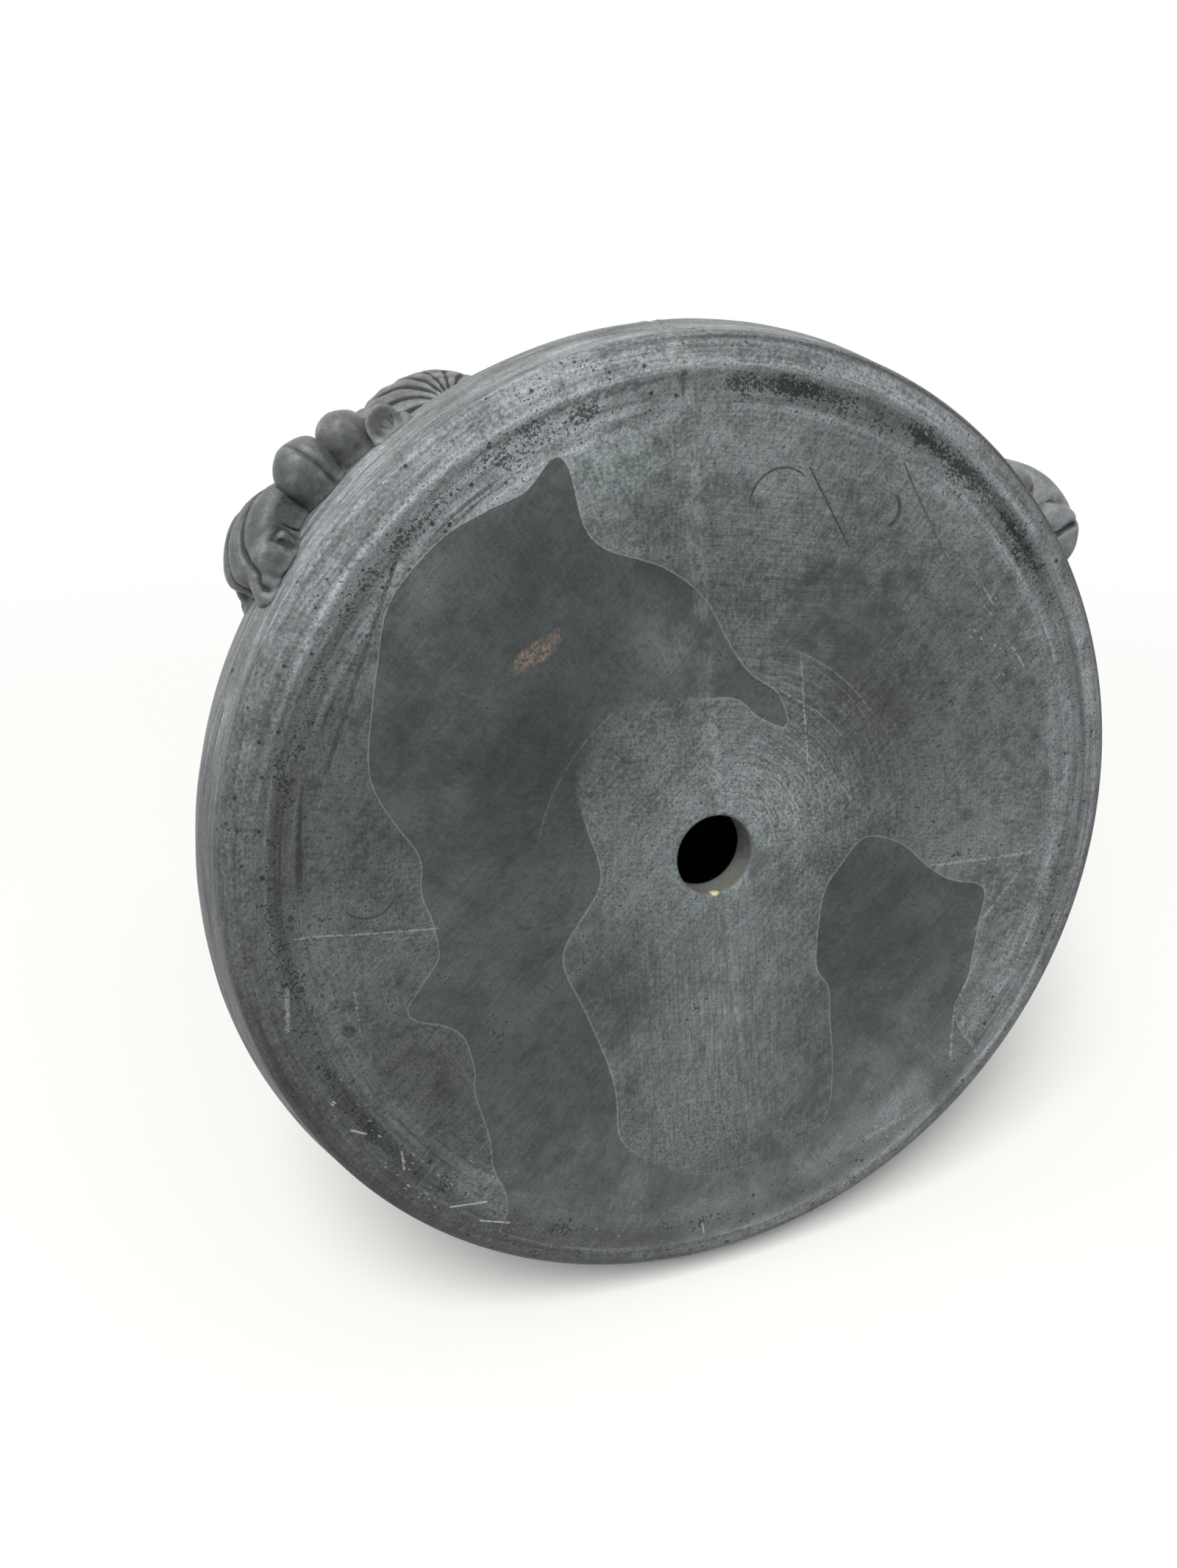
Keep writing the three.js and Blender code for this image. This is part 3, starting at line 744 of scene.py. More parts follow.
def sunk_places(w, foot):
    """Where the foot is sunk and dark: the crust of the ring, cracks, pits and the open joint, whose dark
    line is painted shade in its gap with grime.
    """
    patchy = w.math("SUBTRACT", w.mix(0.5, w.mix(0.35, foot.blotch, foot.cloud), foot.grain), 0.5)
    worn = w.scaled(foot.ring, 0.18, w.product(patchy, w.scaled(foot.ring, 1.1, 1.7)))
    cracked = w.product(w.attribute("cove"), w.span(foot.lines, 0.39, 0.33))
    pits = w.effect("holes", Vector=foot.place, Scale=430.0, Radius=0.24, Share=0.2)["Holes"]
    holes = w.effect("holes", Vector=foot.place, Scale=170.0, Radius=0.12, Share=0.3)["Holes"]
    return w.most(
        w.span(worn, 0.13, 0.18), w.product(cracked, 0.9), w.product(pits, w.scaled(foot.edge, 0.85, 0.1)),
        w.product(holes, w.scaled(foot.edge, 0.85, 0.15)),
        # Dark line of the groove and the open joint: painted shade in the gap, with grime
        w.product(w.attribute("joint"), w.span(foot.blotch, 0.3, 0.5)),
    )


def pale_flecks(w, foot):
    """Where the foot is flecked along one slant, or its grain is rubbed pale."""
    streaked = w.vector("ADD", w.turned(foot.place, math.radians(FLECK_SLANT)), (0.5, 0.5, 0.0))
    streaked = w.vector("MULTIPLY", streaked, (1.0, FLECK_STRETCH, 1.0))
    share = w.product(foot.blotch, 0.7)
    flecks = w.effect("holes", Vector=streaked, Scale=950.0, Radius=0.26, Share=share)["Holes"]
    rubbed = w.product(w.span(foot.grain, 0.62, 0.7), w.scaled(foot.edge, 0.35, 0.05))
    flecks = w.product(flecks, w.attribute("flecked"), w.span(foot.grain, 0.3, 0.6, 0.4, 1.3))
    return w.most(rubbed, flecks)


def add_mark(w, marks, amount, strength):
    """Adds one mark to the pale ones, or to the dark ones where its strength is below 0."""
    kind = "pale" if strength > 0 else "dark"
    marks[kind] = w.most(marks[kind], w.product(amount, abs(strength)))


def add_foot_marks(w, marks, foot):
    """Adds the soft patches and the straight and curved scratches under the foot."""
    for centre, radius, strength in UNDERSIDE_PATCHES:
        patch = w.effect(
            "smudge", Vector=foot.flat, Centre=metres(centre), Radius=radius * MM, Grain=foot.blotch,
            Ragged=2.4,
        )["Patch"]
        add_mark(w, marks, w.product(patch, w.span(foot.grain, 0.42, 0.58)), strength)
    for start, end, width, breaks, strength in UNDERSIDE_SCRATCHES:
        line = w.effect(
            "scratch", Vector=foot.flat, Start=metres(start), End=metres(end), Width=width * MM,
            Grain=foot.grain, Breaks=breaks,
        )["Line"]
        add_mark(w, marks, line, strength)
    for centre, radius, middle, reach, width, strength in UNDERSIDE_ARCS:
        line = w.effect(
            "arc", Vector=foot.flat, Centre=metres(centre), Radius=radius * MM, Middle=metres(middle),
            Reach=reach * MM, Width=width * MM, Grain=foot.grain,
        )["Line"]
        add_mark(w, marks, line, strength)


def tan_smear(w, foot):
    """Where the smear lies, drawn out along its own slant."""
    long_way = w.turned(w.vector("SUBTRACT", foot.flat, metres(SMEAR_CENTRE)), math.radians(SMEAR_SLANT))
    long_way = w.vector("MULTIPLY", long_way, (*SMEAR_STRETCH, 1.0))
    radius = SMEAR_RADIUS * MM
    return w.effect("smudge", Vector=long_way, Radius=radius, Grain=foot.blotch, Ragged=3.0)["Patch"]


def drop_in_bore(w, foot):
    """Where the drop of glaze sits in the drain hole."""
    centre, radius = metres(DROP_CENTRE), DROP_RADIUS * MM
    return w.effect("smudge", Vector=foot.place, Centre=centre, Radius=radius, Grain=foot.grain)["Patch"]


def slab_clay(clay):
    """Burnished clay of the foot: a smooth dark stain with crisp pale edges over matte, scuffed grey."""
    material, w, place, surface = open_material("burnished foot clay")
    foot = foot_patterns(w, place)
    matte = matte_value(w, foot)
    film = film_value(w, foot)
    softness = w.attribute("softness")
    stain = w.effect("stain", Distance=w.attribute("stain"), Softness=softness, Grain=foot.blotch)
    fill = stain["Fill"]
    warmth = w.product(w.span(w.noise(place, 14.0, 2.0), 0.38, 0.6), w.mix(fill, 0.8, 0.1))
    warmth = w.most(warmth, w.product(foot.edge, 0.8))
    base = clay_colour(w, clay, warmth, w.mix(fill, matte, film))

    sunk = sunk_places(w, foot)
    marks = {"pale": pale_flecks(w, foot), "dark": sunk}
    add_foot_marks(w, marks, foot)
    seam = w.product(w.attribute("seam"), w.span(foot.blotch, 0.4, 0.6))
    seam = w.product(seam, w.span(foot.grain, 0.35, 0.7, 0.35, 1.0))
    marks["pale"] = w.most(marks["pale"], w.product(stain["Line"], 0.32), seam)
    smear = tan_smear(w, foot)
    drop = drop_in_bore(w, foot)

    base = w.tint(w.product(smear, w.span(foot.grain, 0.35, 0.65), 0.8), base, clay.rust)
    base = w.laid(base, clay.crack, marks["dark"], 0.9)
    base = w.laid(base, clay.scuff, marks["pale"], 0.75)
    base = w.tint(w.product(w.attribute("bore"), w.span(foot.blotch, 0.3, 0.6)), base, clay.bore)
    w.plug(surface.inputs["Base Color"], w.tint(drop, base, clay.glaze_drop))

    plain = w.product(w.mix(fill, clay.matte_roughness, clay.stain_roughness), w.sway(foot.grain, 0.5))
    w.plug(surface.inputs["Roughness"], w.mix(drop, w.scaled(sunk, 0.2, plain), 0.15))
    w.plug(surface.inputs["Specular IOR Level"], w.scaled(foot.ring, -0.3, clay.shine))

    relief = w.product(w.math("ADD", foot.grain, foot.blotch), w.mix(fill, 1.0, 0.2))
    relief = w.scaled(foot.lines, w.product(foot.edge, 1.2), relief)
    w.plug(surface.inputs["Normal"], w.bump(w.scaled(sunk, -1.2, relief), 0.6, 0.0003))
    return material


def wall_clay(clay):
    """Burnished clay of the wall and the lip, with pits and streaks that run round."""
    material, w, place, surface = open_material("burnished wall clay")
    cloud, blotch, grain = mottled(w, place, 13.0, 100.0, 900.0)
    fine = w.effect("turning", Vector=place, Across=900.0, Along=7.0)["Lines"]
    wide = w.effect("turning", Vector=place, Across=230.0, Along=2.2)["Lines"]
    holes = w.effect("holes", Vector=place, Scale=210.0, Radius=0.14, Share=0.2)["Holes"]
    low = w.attribute("low")
    inside = w.attribute("inside")
    # The tone attribute is painted light and shade low on the wall
    value = w.product(
        clay.wall_tone, w.attribute("tone"), w.sway(cloud, 1.4), w.sway(blotch, 1.3), w.sway(grain, 1.8),
        w.sway(fine, w.scaled(low, 1.9, 0.3)), w.sway(wide, w.scaled(low, 1.8, 0.45)),
    )
    base = clay_colour(w, clay, w.span(w.noise(place, 9.0, 2.0), 0.4, 0.62, 0.55, 1.0), value)
    cracked = w.product(low, w.span(fine, 0.4, 0.33), w.span(blotch, 0.5, 0.62))
    # Dark line of the open joint: painted shade in its gap, with grime
    joint = w.product(w.attribute("joint"), w.span(blotch, 0.3, 0.5))
    dark = w.most(w.product(cracked, 0.8), holes, joint)
    base = w.laid(base, clay.crack, dark, 0.85)
    base = w.laid(base, clay.scuff, w.product(w.attribute("seam"), w.span(grain, 0.4, 0.65)), 0.4)
    w.plug(surface.inputs["Base Color"], w.tint(inside, base, clay.crack))
    w.plug(surface.inputs["Roughness"], w.product(clay.wall_roughness, w.sway(blotch, 0.9)))
    w.plug(surface.inputs["Specular IOR Level"], w.mix(inside, clay.shine, 0.0))
    height = w.scaled(fine, w.scaled(low, 1.2, 0.25), w.product(w.math("ADD", grain, blotch), 0.7))
    w.plug(surface.inputs["Normal"], w.bump(w.scaled(dark, -1.4, height), 0.7, 0.0004))
    return material


def relief_clay(clay):
    """Satin clay of the applied relief, with painted shade in its hollows and where it meets the wall, and
    painted highlights on its crests.
    """
    material, w, place, surface = open_material("satin relief clay")
    cloud, blotch, grain = mottled(w, place, 45.0, 170.0, 1000.0)
    holes = w.effect("holes", Vector=place, Scale=300.0, Radius=0.14, Share=0.12)["Holes"]
    hollow = w.attribute("hollow")
    # hollow above 0 is painted shade in the hollows and along the foot of the relief
    sunk = w.span(hollow, 0.0, 0.16)
    value = w.product(
        clay.relief_tone, w.sway(cloud, 2.6), w.sway(blotch, 1.8), w.sway(grain, 1.3),
        # Painted highlight on the crests, where hollow is below 0
        w.scaled(w.span(hollow, -0.02, -0.3), 0.8, 1.0),
    )
    base = clay_colour(w, clay, w.span(w.noise(place, 30.0, 2.0), 0.4, 0.62, 0.55, 1.0), value)
    # Painted shade in the hollows, and dark pits
    dark = w.most(w.product(sunk, w.sway(blotch, 1.5)), w.product(holes, 0.8))
    w.plug(surface.inputs["Base Color"], w.laid(base, clay.crack, dark, 0.85))
    roughness = w.product(w.scaled(sunk, 0.25, clay.relief_roughness), w.sway(blotch, 0.6))
    w.plug(surface.inputs["Roughness"], roughness)
    surface.inputs["Specular IOR Level"].default_value = clay.shine
    height = w.scaled(holes, -1.2, w.product(w.math("ADD", grain, blotch), 0.6))
    w.plug(surface.inputs["Normal"], w.bump(height, 0.5, 0.0002))
    return material


@cache
def material_for(kind):
    """The clay materials, made when first asked for."""
    makers = {"slab": slab_clay, "wall": wall_clay, "relief": relief_clay}
    return makers[kind](bpy.context.scene.vase_clay)


def blobs(x, y, table):
    """Sum of soft round patches: centre, radius and height of each."""
    return sum(gain * bump_at(np.hypot(x - cx, y - cy), radius) for cx, cy, radius, gain in table)


def ring_profile(azimuth, pairs):
    """Value that goes smoothly round the ring through pairs of azimuth and value."""
    places, values = zip(*pairs)
    return np.interp(azimuth, places, values, period=360)


# Soft lighter and darker parts of the matte clay and of the stain: centre, radius, gain
MATTE_TONES = [
    (2, -6, 32, 0.68), (4, 60, 38, 0.3), (5, -112, 30, 0.45), (-48, -118, 30, 0.75), (116, 8, 34, 0.35),
    (106, 60, 26, 0.42), (-100, 66, 34, -0.6), (-85, -95, 30, 0.4), (-92, 88, 12, -0.2),
    (62, -45, 34, -0.28), (45, -32, 20, -0.25), (70, -105, 26, 0.35), (-34, 45, 15, -0.45),
    (35, 62, 13, -0.3), (34, -4, 14, 0.25), (-2, -88, 18, -0.2), (-112, -15, 24, -0.45),
    (-110, -42, 14, -0.25), (88, -52, 18, 0.15), (2, 100, 16, -0.12),
]
STAIN_TONES = [
    (10, 124, 40, 0.7), (74, 96, 30, 0.65), (-55, 92, 30, 0.2), (-62, -36, 30, -0.25),
    (-18, -63, 16, 0.85), (-50, -86, 18, -0.2), (-80, -48, 16, 0.25), (-14, -88, 12, -0.25),
    (60, 30, 22, -0.3), (-88, -48, 22, 0.15), (-66, 34, 22, -0.15), (78, 30, 12, 0.25),
]

# Places round the foot ring, as radii: the cracked hollow and its tone, the black rough band with its
# core and chips, the ridge with its painted highlight, the heel beyond it and the thin groove beside the lute
# joint
COVE_CRACK_RADIUS = 124.5
COVE_RADIUS = 126.0
BAND_RADIUS = 131.5
BAND_CORE_RADIUS = 132.0
CHIP_RADIUS = 133.5
RIDGE_RADIUS = 137.5
HEEL_RADIUS = 138.5
CRACK_RADIUS = 143.7
JOINT_RADIUS = 143.0

# Strength of each of these round the ring, from azimuth to value. The ridge's values are a painted highlight,
# and the heel's and the wall's are painted light on the upper left and painted shade on the lower left.
# The joint is the open part of the lute line, and the wall is its lowest part
BAND_STRENGTH = [
    (-180, 0.42), (-150, 0.42), (-135, 0.6), (-112, 0.4), (-98, 0.3), (-90, 0.75), (-84, 1), (-79, 0.9),
    (-75, 0.5), (-68, 0.6), (-62, 0.95), (-56, 0.8), (-52, 0.5), (-47, 0.9), (-41, 1), (-36, 0.5),
    (-29, 0.15), (0, 0.15), (60, 0.1), (110, 0.3), (140, 0.55), (160, 0.55),
]
COVE_TONE = [
    (-180, 0.0), (-160, 0.2), (-130, 0.72), (-110, 0.3), (-95, 0.1), (-60, 0.4), (-30, 0.5), (0, 0.2),
    (30, 0.15), (90, 0.05), (125, 0.3), (145, 0.58), (165, 0.15),
]
COVE_STRENGTH = [
    (-170, 0.7), (-150, 0.8), (-125, 0.75), (-105, 0.35), (-90, 0.1), (0, 0.05), (90, 0.1), (150, 0.4),
]
# Painted highlight along the ridge, strongest at the upper left, and painted shade at the lower left
RIDGE_HIGHLIGHT = [
    (-180, -0.25), (-168, 0.05), (-150, 0.95), (-135, 1.1), (-122, 1.0), (-95, 0.8), (-60, 0.8),
    (-20, 0.75), (20, 0.9), (90, 0.55), (120, -0.4), (150, -0.75),
]
# Painted light on the heel at the upper left and painted shade at the lower left
HEEL_LIGHT_AND_SHADE = [
    (-180, -0.2), (-165, 0.1), (-150, 0.55), (-120, 0.75), (-95, 0.5), (-60, 0.3), (0, 0.2), (60, 0.1),
    (90, 0.1), (110, -0.3), (130, -0.75), (155, -0.65),
]
# Painted light low on the wall at the upper left and painted shade at the lower left
WALL_LIGHT_AND_SHADE = [
    (-180, -0.35), (-167, 0.0), (-150, 0.9), (-135, 0.6), (-120, 0.5), (-95, 0.4), (-60, 0.3), (0, 0.2),
    (60, 0.1), (90, 0.1), (110, -0.3), (130, -0.75), (155, -0.65),
]
CRACK_STRENGTH = [
    (-180, 0.0), (-112, 0.0), (-96, 0.7), (-70, 1), (-45, 1), (-20, 0.6), (5, 0.0), (180, 0.0),
]
FLECK_STRENGTH = [
    (-95, 0.2), (-75, 0.5), (-40, 0.6), (-32, 0.2), (0, 0.1), (100, 0.1), (112, 0.8), (117, 0.2),
    (134, 0.3), (140, 1), (153, 1), (158, 0.2), (180, 0.1),
]
JOINT_STRENGTH = [
    (-180, 0.7), (-160, 0.25), (-110, 0.1), (-95, 0.4), (-70, 1), (0, 1), (40, 1), (90, 0.7), (150, 0.8),
]

# Patches of the foot, as centre, radius and gain: soft edges of the stain, brushed clay, ruled clay
# and flecks
SOFT_EDGES = [(-36, -40, 17, 8.0), (40, 128, 20, 3.0), (-30, 132, 24, 3.0), (88, 112, 18, 3.0)]
BRUSHED_PARTS = [(0, 50, 36, 1.0), (10, 95, 26, 0.8)]
RULED_PARTS = [(18, -85, 26, 1.0), (25, -50, 16, 0.8)]
FLECKED_PARTS = [
    (-84, 96, 22, 0.45), (-112, 0, 20, 0.2), (112, 40, 20, 0.25), (92, -60, 16, 0.9), (70, 108, 16, 0.7),
]


def underside(x, y, body):
    """Height of the hollowed underside, with its cove, waves, seam groove and the rim of the drain."""
    rho = np.hypot(x, y)
    points = np.stack([x, y, 0 * x], axis=-1)
    height = DISH_DEPTH * np.clip(1 - (rho / RING_INNER) ** 2, 0, None)
    height += body.cove_depth * bump_at(rho - body.cove_radius, body.cove_width)
    waves = body.waviness * (rough(points, 42, 3.1) + 0.35 * rough(points, 15, 9.4))
    height += waves * ramp_up(134 - rho, 20)
    across = seam_distance(x, y)
    groove = 0.3 * bump_at(across, 1.1) - 0.12 * bump_at(np.abs(across) - 2.4, 0.9)
    height += groove * (rho < 132)
    height += 1.3 * bump_at(across, 0.9) * bump_at(rho - 133, 3.4) * (y < 0)
    lip = np.hypot(x - DRAIN_CENTRE[0], y - DRAIN_CENTRE[1])
    return height - 0.25 * bump_at(lip - 20, 4)


def heel_row(share):
    """Radius and height on the curve from the foot ring to the lute line."""
    a, b, c = np.array([RING_OUTER, 0.0]), np.array([146.5, 0.2]), np.array([LUTE_RADIUS, 6.4])
    return tuple((1 - share) ** 2 * a + 2 * share * (1 - share) * b + share**2 * c)


def slab_rows():
    """Radius, height (None on the hollow underside) and share of the drain hole's shift, all round."""
    rows = [(12.5, 5.6, 1), (12.62, 5.1, 1), (12.95, 4.72, 1)]
    for r in np.concatenate([np.linspace(13.6, 118, 74), np.linspace(119.2, RING_INNER, 11)]):
        rows.append((r, None, (1 - ramp_up(r - DRAIN_RADIUS, 80)) ** 1.5))
    rows += [(r, None, 0) for r in (131.3, 132.2, 133.1, 134, 134.8)]
    rows += [(*heel_row(share), 0) for share in np.linspace(0, 1, 15)]
    rows += [(145.45, 6.8, 0), (145.0, LEDGE_HEIGHT, 0), (140, LEDGE_HEIGHT, 0)]
    rows += [(LEDGE_RADIUS, z, 0) for z in (LEDGE_HEIGHT, 11, 14.6)] + [(135.4, SLAB_TOP, 0)]
    rows += [(r, SLAB_TOP, ramp_up(60 - r, 45)) for r in (125, 110, 95, 80, 62, 45, 30, 18)]
    rows += [(13.3, SLAB_TOP, 1), (12.6, 14.6, 1)]
    return rows + [(DRAIN_RADIUS, z, 1) for z in (13, 11, 9.5, 8, 7, 6.2)]


def paint_slab(mesh, points):
    """Stores the marks of the foot: tones that carry the painted highlight of the ridge and the painted light
    and shade of the heel, stain, scuffed zones, ring band, joint line with painted shade, and seam.
    """
    x, y, z = points.T
    rho = np.hypot(x, y)
    azimuth = azimuths(points)
    clay = bpy.context.scene.vase_clay
    below = z < 6.9

    def round_ring(radius, width, table):
        return bump_at(rho - radius, width) * ring_profile(azimuth, table)

    # Painted highlight on the ridge, painted light and shade on the heel, and the cove's own tone
    painted_light_and_cove_tone = round_ring(RIDGE_RADIUS, 2.8, RIDGE_HIGHLIGHT)
    painted_light_and_cove_tone += ramp_up(rho - HEEL_RADIUS, 3) * ring_profile(azimuth, HEEL_LIGHT_AND_SHADE)
    painted_light_and_cove_tone += round_ring(COVE_RADIUS, 6, COVE_TONE)
    paint(mesh, "matte_tone", clay.matte_tone * np.exp(blobs(x, y, MATTE_TONES) * (rho < 134) + painted_light_and_cove_tone))
    paint(mesh, "stain_tone", clay.stain_tone * np.exp(blobs(x, y, STAIN_TONES) + painted_light_and_cove_tone))
    stain = distance_inside(closed_outline(STAIN_OUTLINE, 4), points[:, :2])
    paint(mesh, "stain", np.minimum(stain, (137 - rho) * 2))
    paint(mesh, "softness", 0.15 + blobs(x, y, SOFT_EDGES))
    band = ring_profile(azimuth, BAND_STRENGTH)
    core = 0.9 * bump_at(rho - BAND_CORE_RADIUS, 1.5) * np.clip(band - 0.4, 0, 1)
    paint(mesh, "ring", (bump_at(rho - BAND_RADIUS, 4.2) * band + core) * below)
    paint(mesh, "cove", round_ring(COVE_CRACK_RADIUS, 3.4, COVE_STRENGTH))
    paint(mesh, "edge", ramp_up(rho - 119, 7) * below)
    # Dark line of the groove beside the lute line and of the open joint: painted shade in the gap, with grime
    crack = round_ring(CRACK_RADIUS, 0.7, CRACK_STRENGTH) * below
    joint = bump_at(z - LEDGE_HEIGHT, 0.55) * (rho > JOINT_RADIUS) * ring_profile(azimuth, JOINT_STRENGTH)
    paint(mesh, "joint", crack + joint)
    reach = np.hypot(x - DRAIN_CENTRE[0], y - DRAIN_CENTRE[1])
    swept = bump_at(azimuth + 35, 50)
    paint(mesh, "arcs", 0.25 + 0.75 * ramp_up(reach - 14, 6) * ramp_up(75 - reach, 25) * swept)
    paint(mesh, "brushed", np.clip(blobs(x, y, BRUSHED_PARTS), 0, 1))
    paint(mesh, "ruled", np.clip(blobs(x, y, RULED_PARTS), 0, 1))
    across = seam_distance(x, y)
    strength = np.select([y < -70, y < -46, y < 0], [0.62, 0.4, 0.75], 0.15) * ramp_up(rho - 12, 6)
    lines = 0.6 * bump_at(across - 1.9, 0.5) + 0.4 * bump_at(across + 1.9, 0.5) + 0.6 * bump_at(across, 2)
    paint(mesh, "seam", lines * strength * (below | (rho < 140)))
    chips = 1.3 * round_ring(CHIP_RADIUS, 4, FLECK_STRENGTH)
    paint(mesh, "flecked", np.clip(blobs(x, y, FLECKED_PARTS) + chips, 0.04, 1))


def size_property(name, value, description, **limits):
    return FloatProperty(name=name, default=value, description=description + " in millimetres", **limits)


def tone_property(name, value, description):
    return FloatProperty(name=name, default=value, min=0, max=1, precision=3, description=description)


def colour_property(name, value, description):
    return FloatVectorProperty(name=name, subtype="COLOR", default=value, description=description)


class VaseBody(bpy.types.PropertyGroup):
    columns: IntProperty(name="Columns", description="Columns of the turned meshes", default=430, min=60)
    waviness: size_property("Waviness", 0.22, "Unevenness of the underside")
    ripple: size_property("Ripple", 0.16, "Depth of the turning marks")
    wobble: size_property("Wobble", 0.5, "How far the wall is out of round")
    cove_depth: size_property("Cove Depth", 0.9, "Depth of the hollow inside the foot ring")
    cove_radius: size_property("Cove Radius", 121.0, "Radius of that hollow")
    cove_width: size_property("Cove Width", 6.0, "Width of that hollow")


class VaseRelief(bpy.types.PropertyGroup):
    shell_half_width: size_property("Shell Half Width", 48.0, "Half the shell's width")
    shell_half_height: size_property("Shell Half Height", 46.0, "Half the shell's height")
    shell_proud: size_property("Shell Proud", 44.0, "How far the shell stands out")
    shell_ribs: IntProperty(name="Shell Ribs", description="Ribs in a full turn", default=22, min=4)
    shell_rib_depth: tone_property("Rib Depth", 0.09, "Depth of the grooves as a share of the radius")
    voxel: size_property("Fineness", 0.8, "Mesh size of the modelled relief", min=0.4)


class VaseClay(bpy.types.PropertyGroup):
    matte_tone: tone_property("Matte Tone", 0.108, "Reflectance of the matte clay")
    stain_tone: tone_property("Stain Tone", 0.06, "Reflectance of the burnished stain")
    wall_tone: tone_property("Wall Tone", 0.15, "Reflectance of the wall")
    relief_tone: tone_property("Relief Tone", 0.092, "Reflectance of the relief")
    shine: tone_property("Shine", 0.4, "Specular level of the burnish")
    matte_roughness: tone_property("Matte Roughness", 0.68, "Roughness of the matte clay")
    stain_roughness: tone_property("Stain Roughness", 0.46, "Roughness of the burnished stain")
    wall_roughness: tone_property("Wall Roughness", 0.48, "Roughness of the wall")
    relief_roughness: tone_property("Relief Roughness", 0.42, "Roughness of the relief")
    cool: colour_property("Cool Hue", (0.89, 1.02, 1.02), "Hue of the greener parts")
    warm: colour_property("Warm Hue", (0.96, 1.0, 1.03), "Hue of the warmer parts")
    scuff: colour_property("Scuff", (0.42, 0.43, 0.42), "Scratches and chips")
    # The crack colour also serves as the painted shade in the relief's hollows
    crack: colour_property("Crack", (0.016, 0.018, 0.02), "Cracks, pits and the unlit inside")
    rust: colour_property("Rust", (0.26, 0.19, 0.14), "Tan smear")
    bore: colour_property("Bore", (0.145, 0.145, 0.125), "Clay inside the drain hole")
    glaze_drop: colour_property("Glaze Drop", (0.72, 0.62, 0.34), "Drop of glaze")


class VaseStage(bpy.types.PropertyGroup):
    camera_place: FloatVectorProperty(
        name="Camera", subtype="TRANSLATION", unit="LENGTH", description="Place of the camera",
        default=(-0.15189, -0.10957, -0.28777),
    )
    camera_turn: FloatVectorProperty(
        name="Camera Turn", subtype="EULER", unit="ROTATION", description="Angles of the camera",
        default=tuple(math.radians(a) for a in (164.185, 20.353, -0.5564)),
    )
    lens: size_property("Lens", 26.0, "Focal length")
    ambient: FloatProperty(name="Ambient", description="Strength of the light from all round", default=0.35)
    key_strength: FloatProperty(name="Key Strength", description="Strength of the broad light", default=2.3)
    side_power: FloatProperty(
        name="Side Power", subtype="POWER", description="Power of the lamp at the left", default=7.0,
    )
    floor_gap: size_property("Floor Gap", 2.0, "Gap under the belly")


class VASE_OT_turn_slab(bpy.types.Operator):
    """Makes the foot slab with its ring, hollow underside and drain hole"""
    bl_idname = "vase.turn_slab"
    bl_label = "Turn Foot Slab"

    def execute(self, context):
        body = context.scene.vase_body
        columns = spokes(body.columns)
        rings, bore = [], []
        for r, z, share in slab_rows():
            x = share * DRAIN_CENTRE[0] + r * np.cos(columns)
            y = share * DRAIN_CENTRE[1] + r * np.sin(columns)
            height = underside(x, y, body) if z is None else np.full_like(x, z)
            rings.append(np.stack([x, y, height], axis=-1))
            bore.append(np.full_like(x, 1.0 if share == 1 and r < 12.8 else 0.0))
        mesh = turned_mesh("foot_slab", np.array(rings))
        points = read_points(mesh)
        outward = away_from_axis(points)
        x, y, z = points.T
        rim = bump_at(np.hypot(x, y) - LUTE_RADIUS, 1.6) * bump_at(z - 6.4, 1.3)
        ragged = np.clip(rough(points, 5, 4.4) + 0.6 * rough(points, 2.2, 8.8), -1, 0.2)
        points = points + outward * (rim * ragged * (0.6 + 0.5 * (x > 0)))[:, None]
        x, y, z = points.T
        groove = bump_at(np.hypot(x, y) - CRACK_RADIUS, 0.9) * (z < 6)
        groove *= ring_profile(azimuths(points), CRACK_STRENGTH)
        points = points - outward * (0.35 * groove)[:, None]
        write_points(mesh, points)
        paint_slab(mesh, points)
        paint(mesh, "bore", np.array(bore))
        finish_piece("foot_slab", mesh, "slab", "base_slab")
        return {"FINISHED"}


def wall_rows():
    """Radius and height up the outside of the wall, and over its tongue and down the inside."""
    heights = [WALL_FOOT + 0.25, WALL_FOOT + 0.8], np.arange(WALL_FOOT + 1.8, 45, 1.3), np.arange(46, 120, 3)
    heights = np.concatenate([*heights, np.arange(124, WALL_TOP, 5), [WALL_TOP]])
    outer = [(float(wall_radius(z)), z) for z in heights]
    bore = float(wall_radius(WALL_TOP)) - WALL_THICKNESS
    tongue = WALL_TOP + TONGUE_HEIGHT
    inner = [(bore + TONGUE_WIDTH, WALL_TOP), (bore + TONGUE_WIDTH, tongue), (bore, tongue)]
    inner += [(float(wall_radius(z)) - WALL_THICKNESS, z) for z in np.arange(WALL_TOP - 4, 20, -8)]
    inner += [(139.2, 19.5)]
    inner += [(LEDGE_RADIUS + LUTE_GAP, z) for z in (SLAB_TOP + 0.2, 11, WALL_FOOT)]
    return outer, inner + [(141, WALL_FOOT), (145.0, WALL_FOOT)]


def seam_fade(height):
    """How much of the mould seam is left up the wall."""
    return np.clip((120 - height) / 100, 0.15, 1)


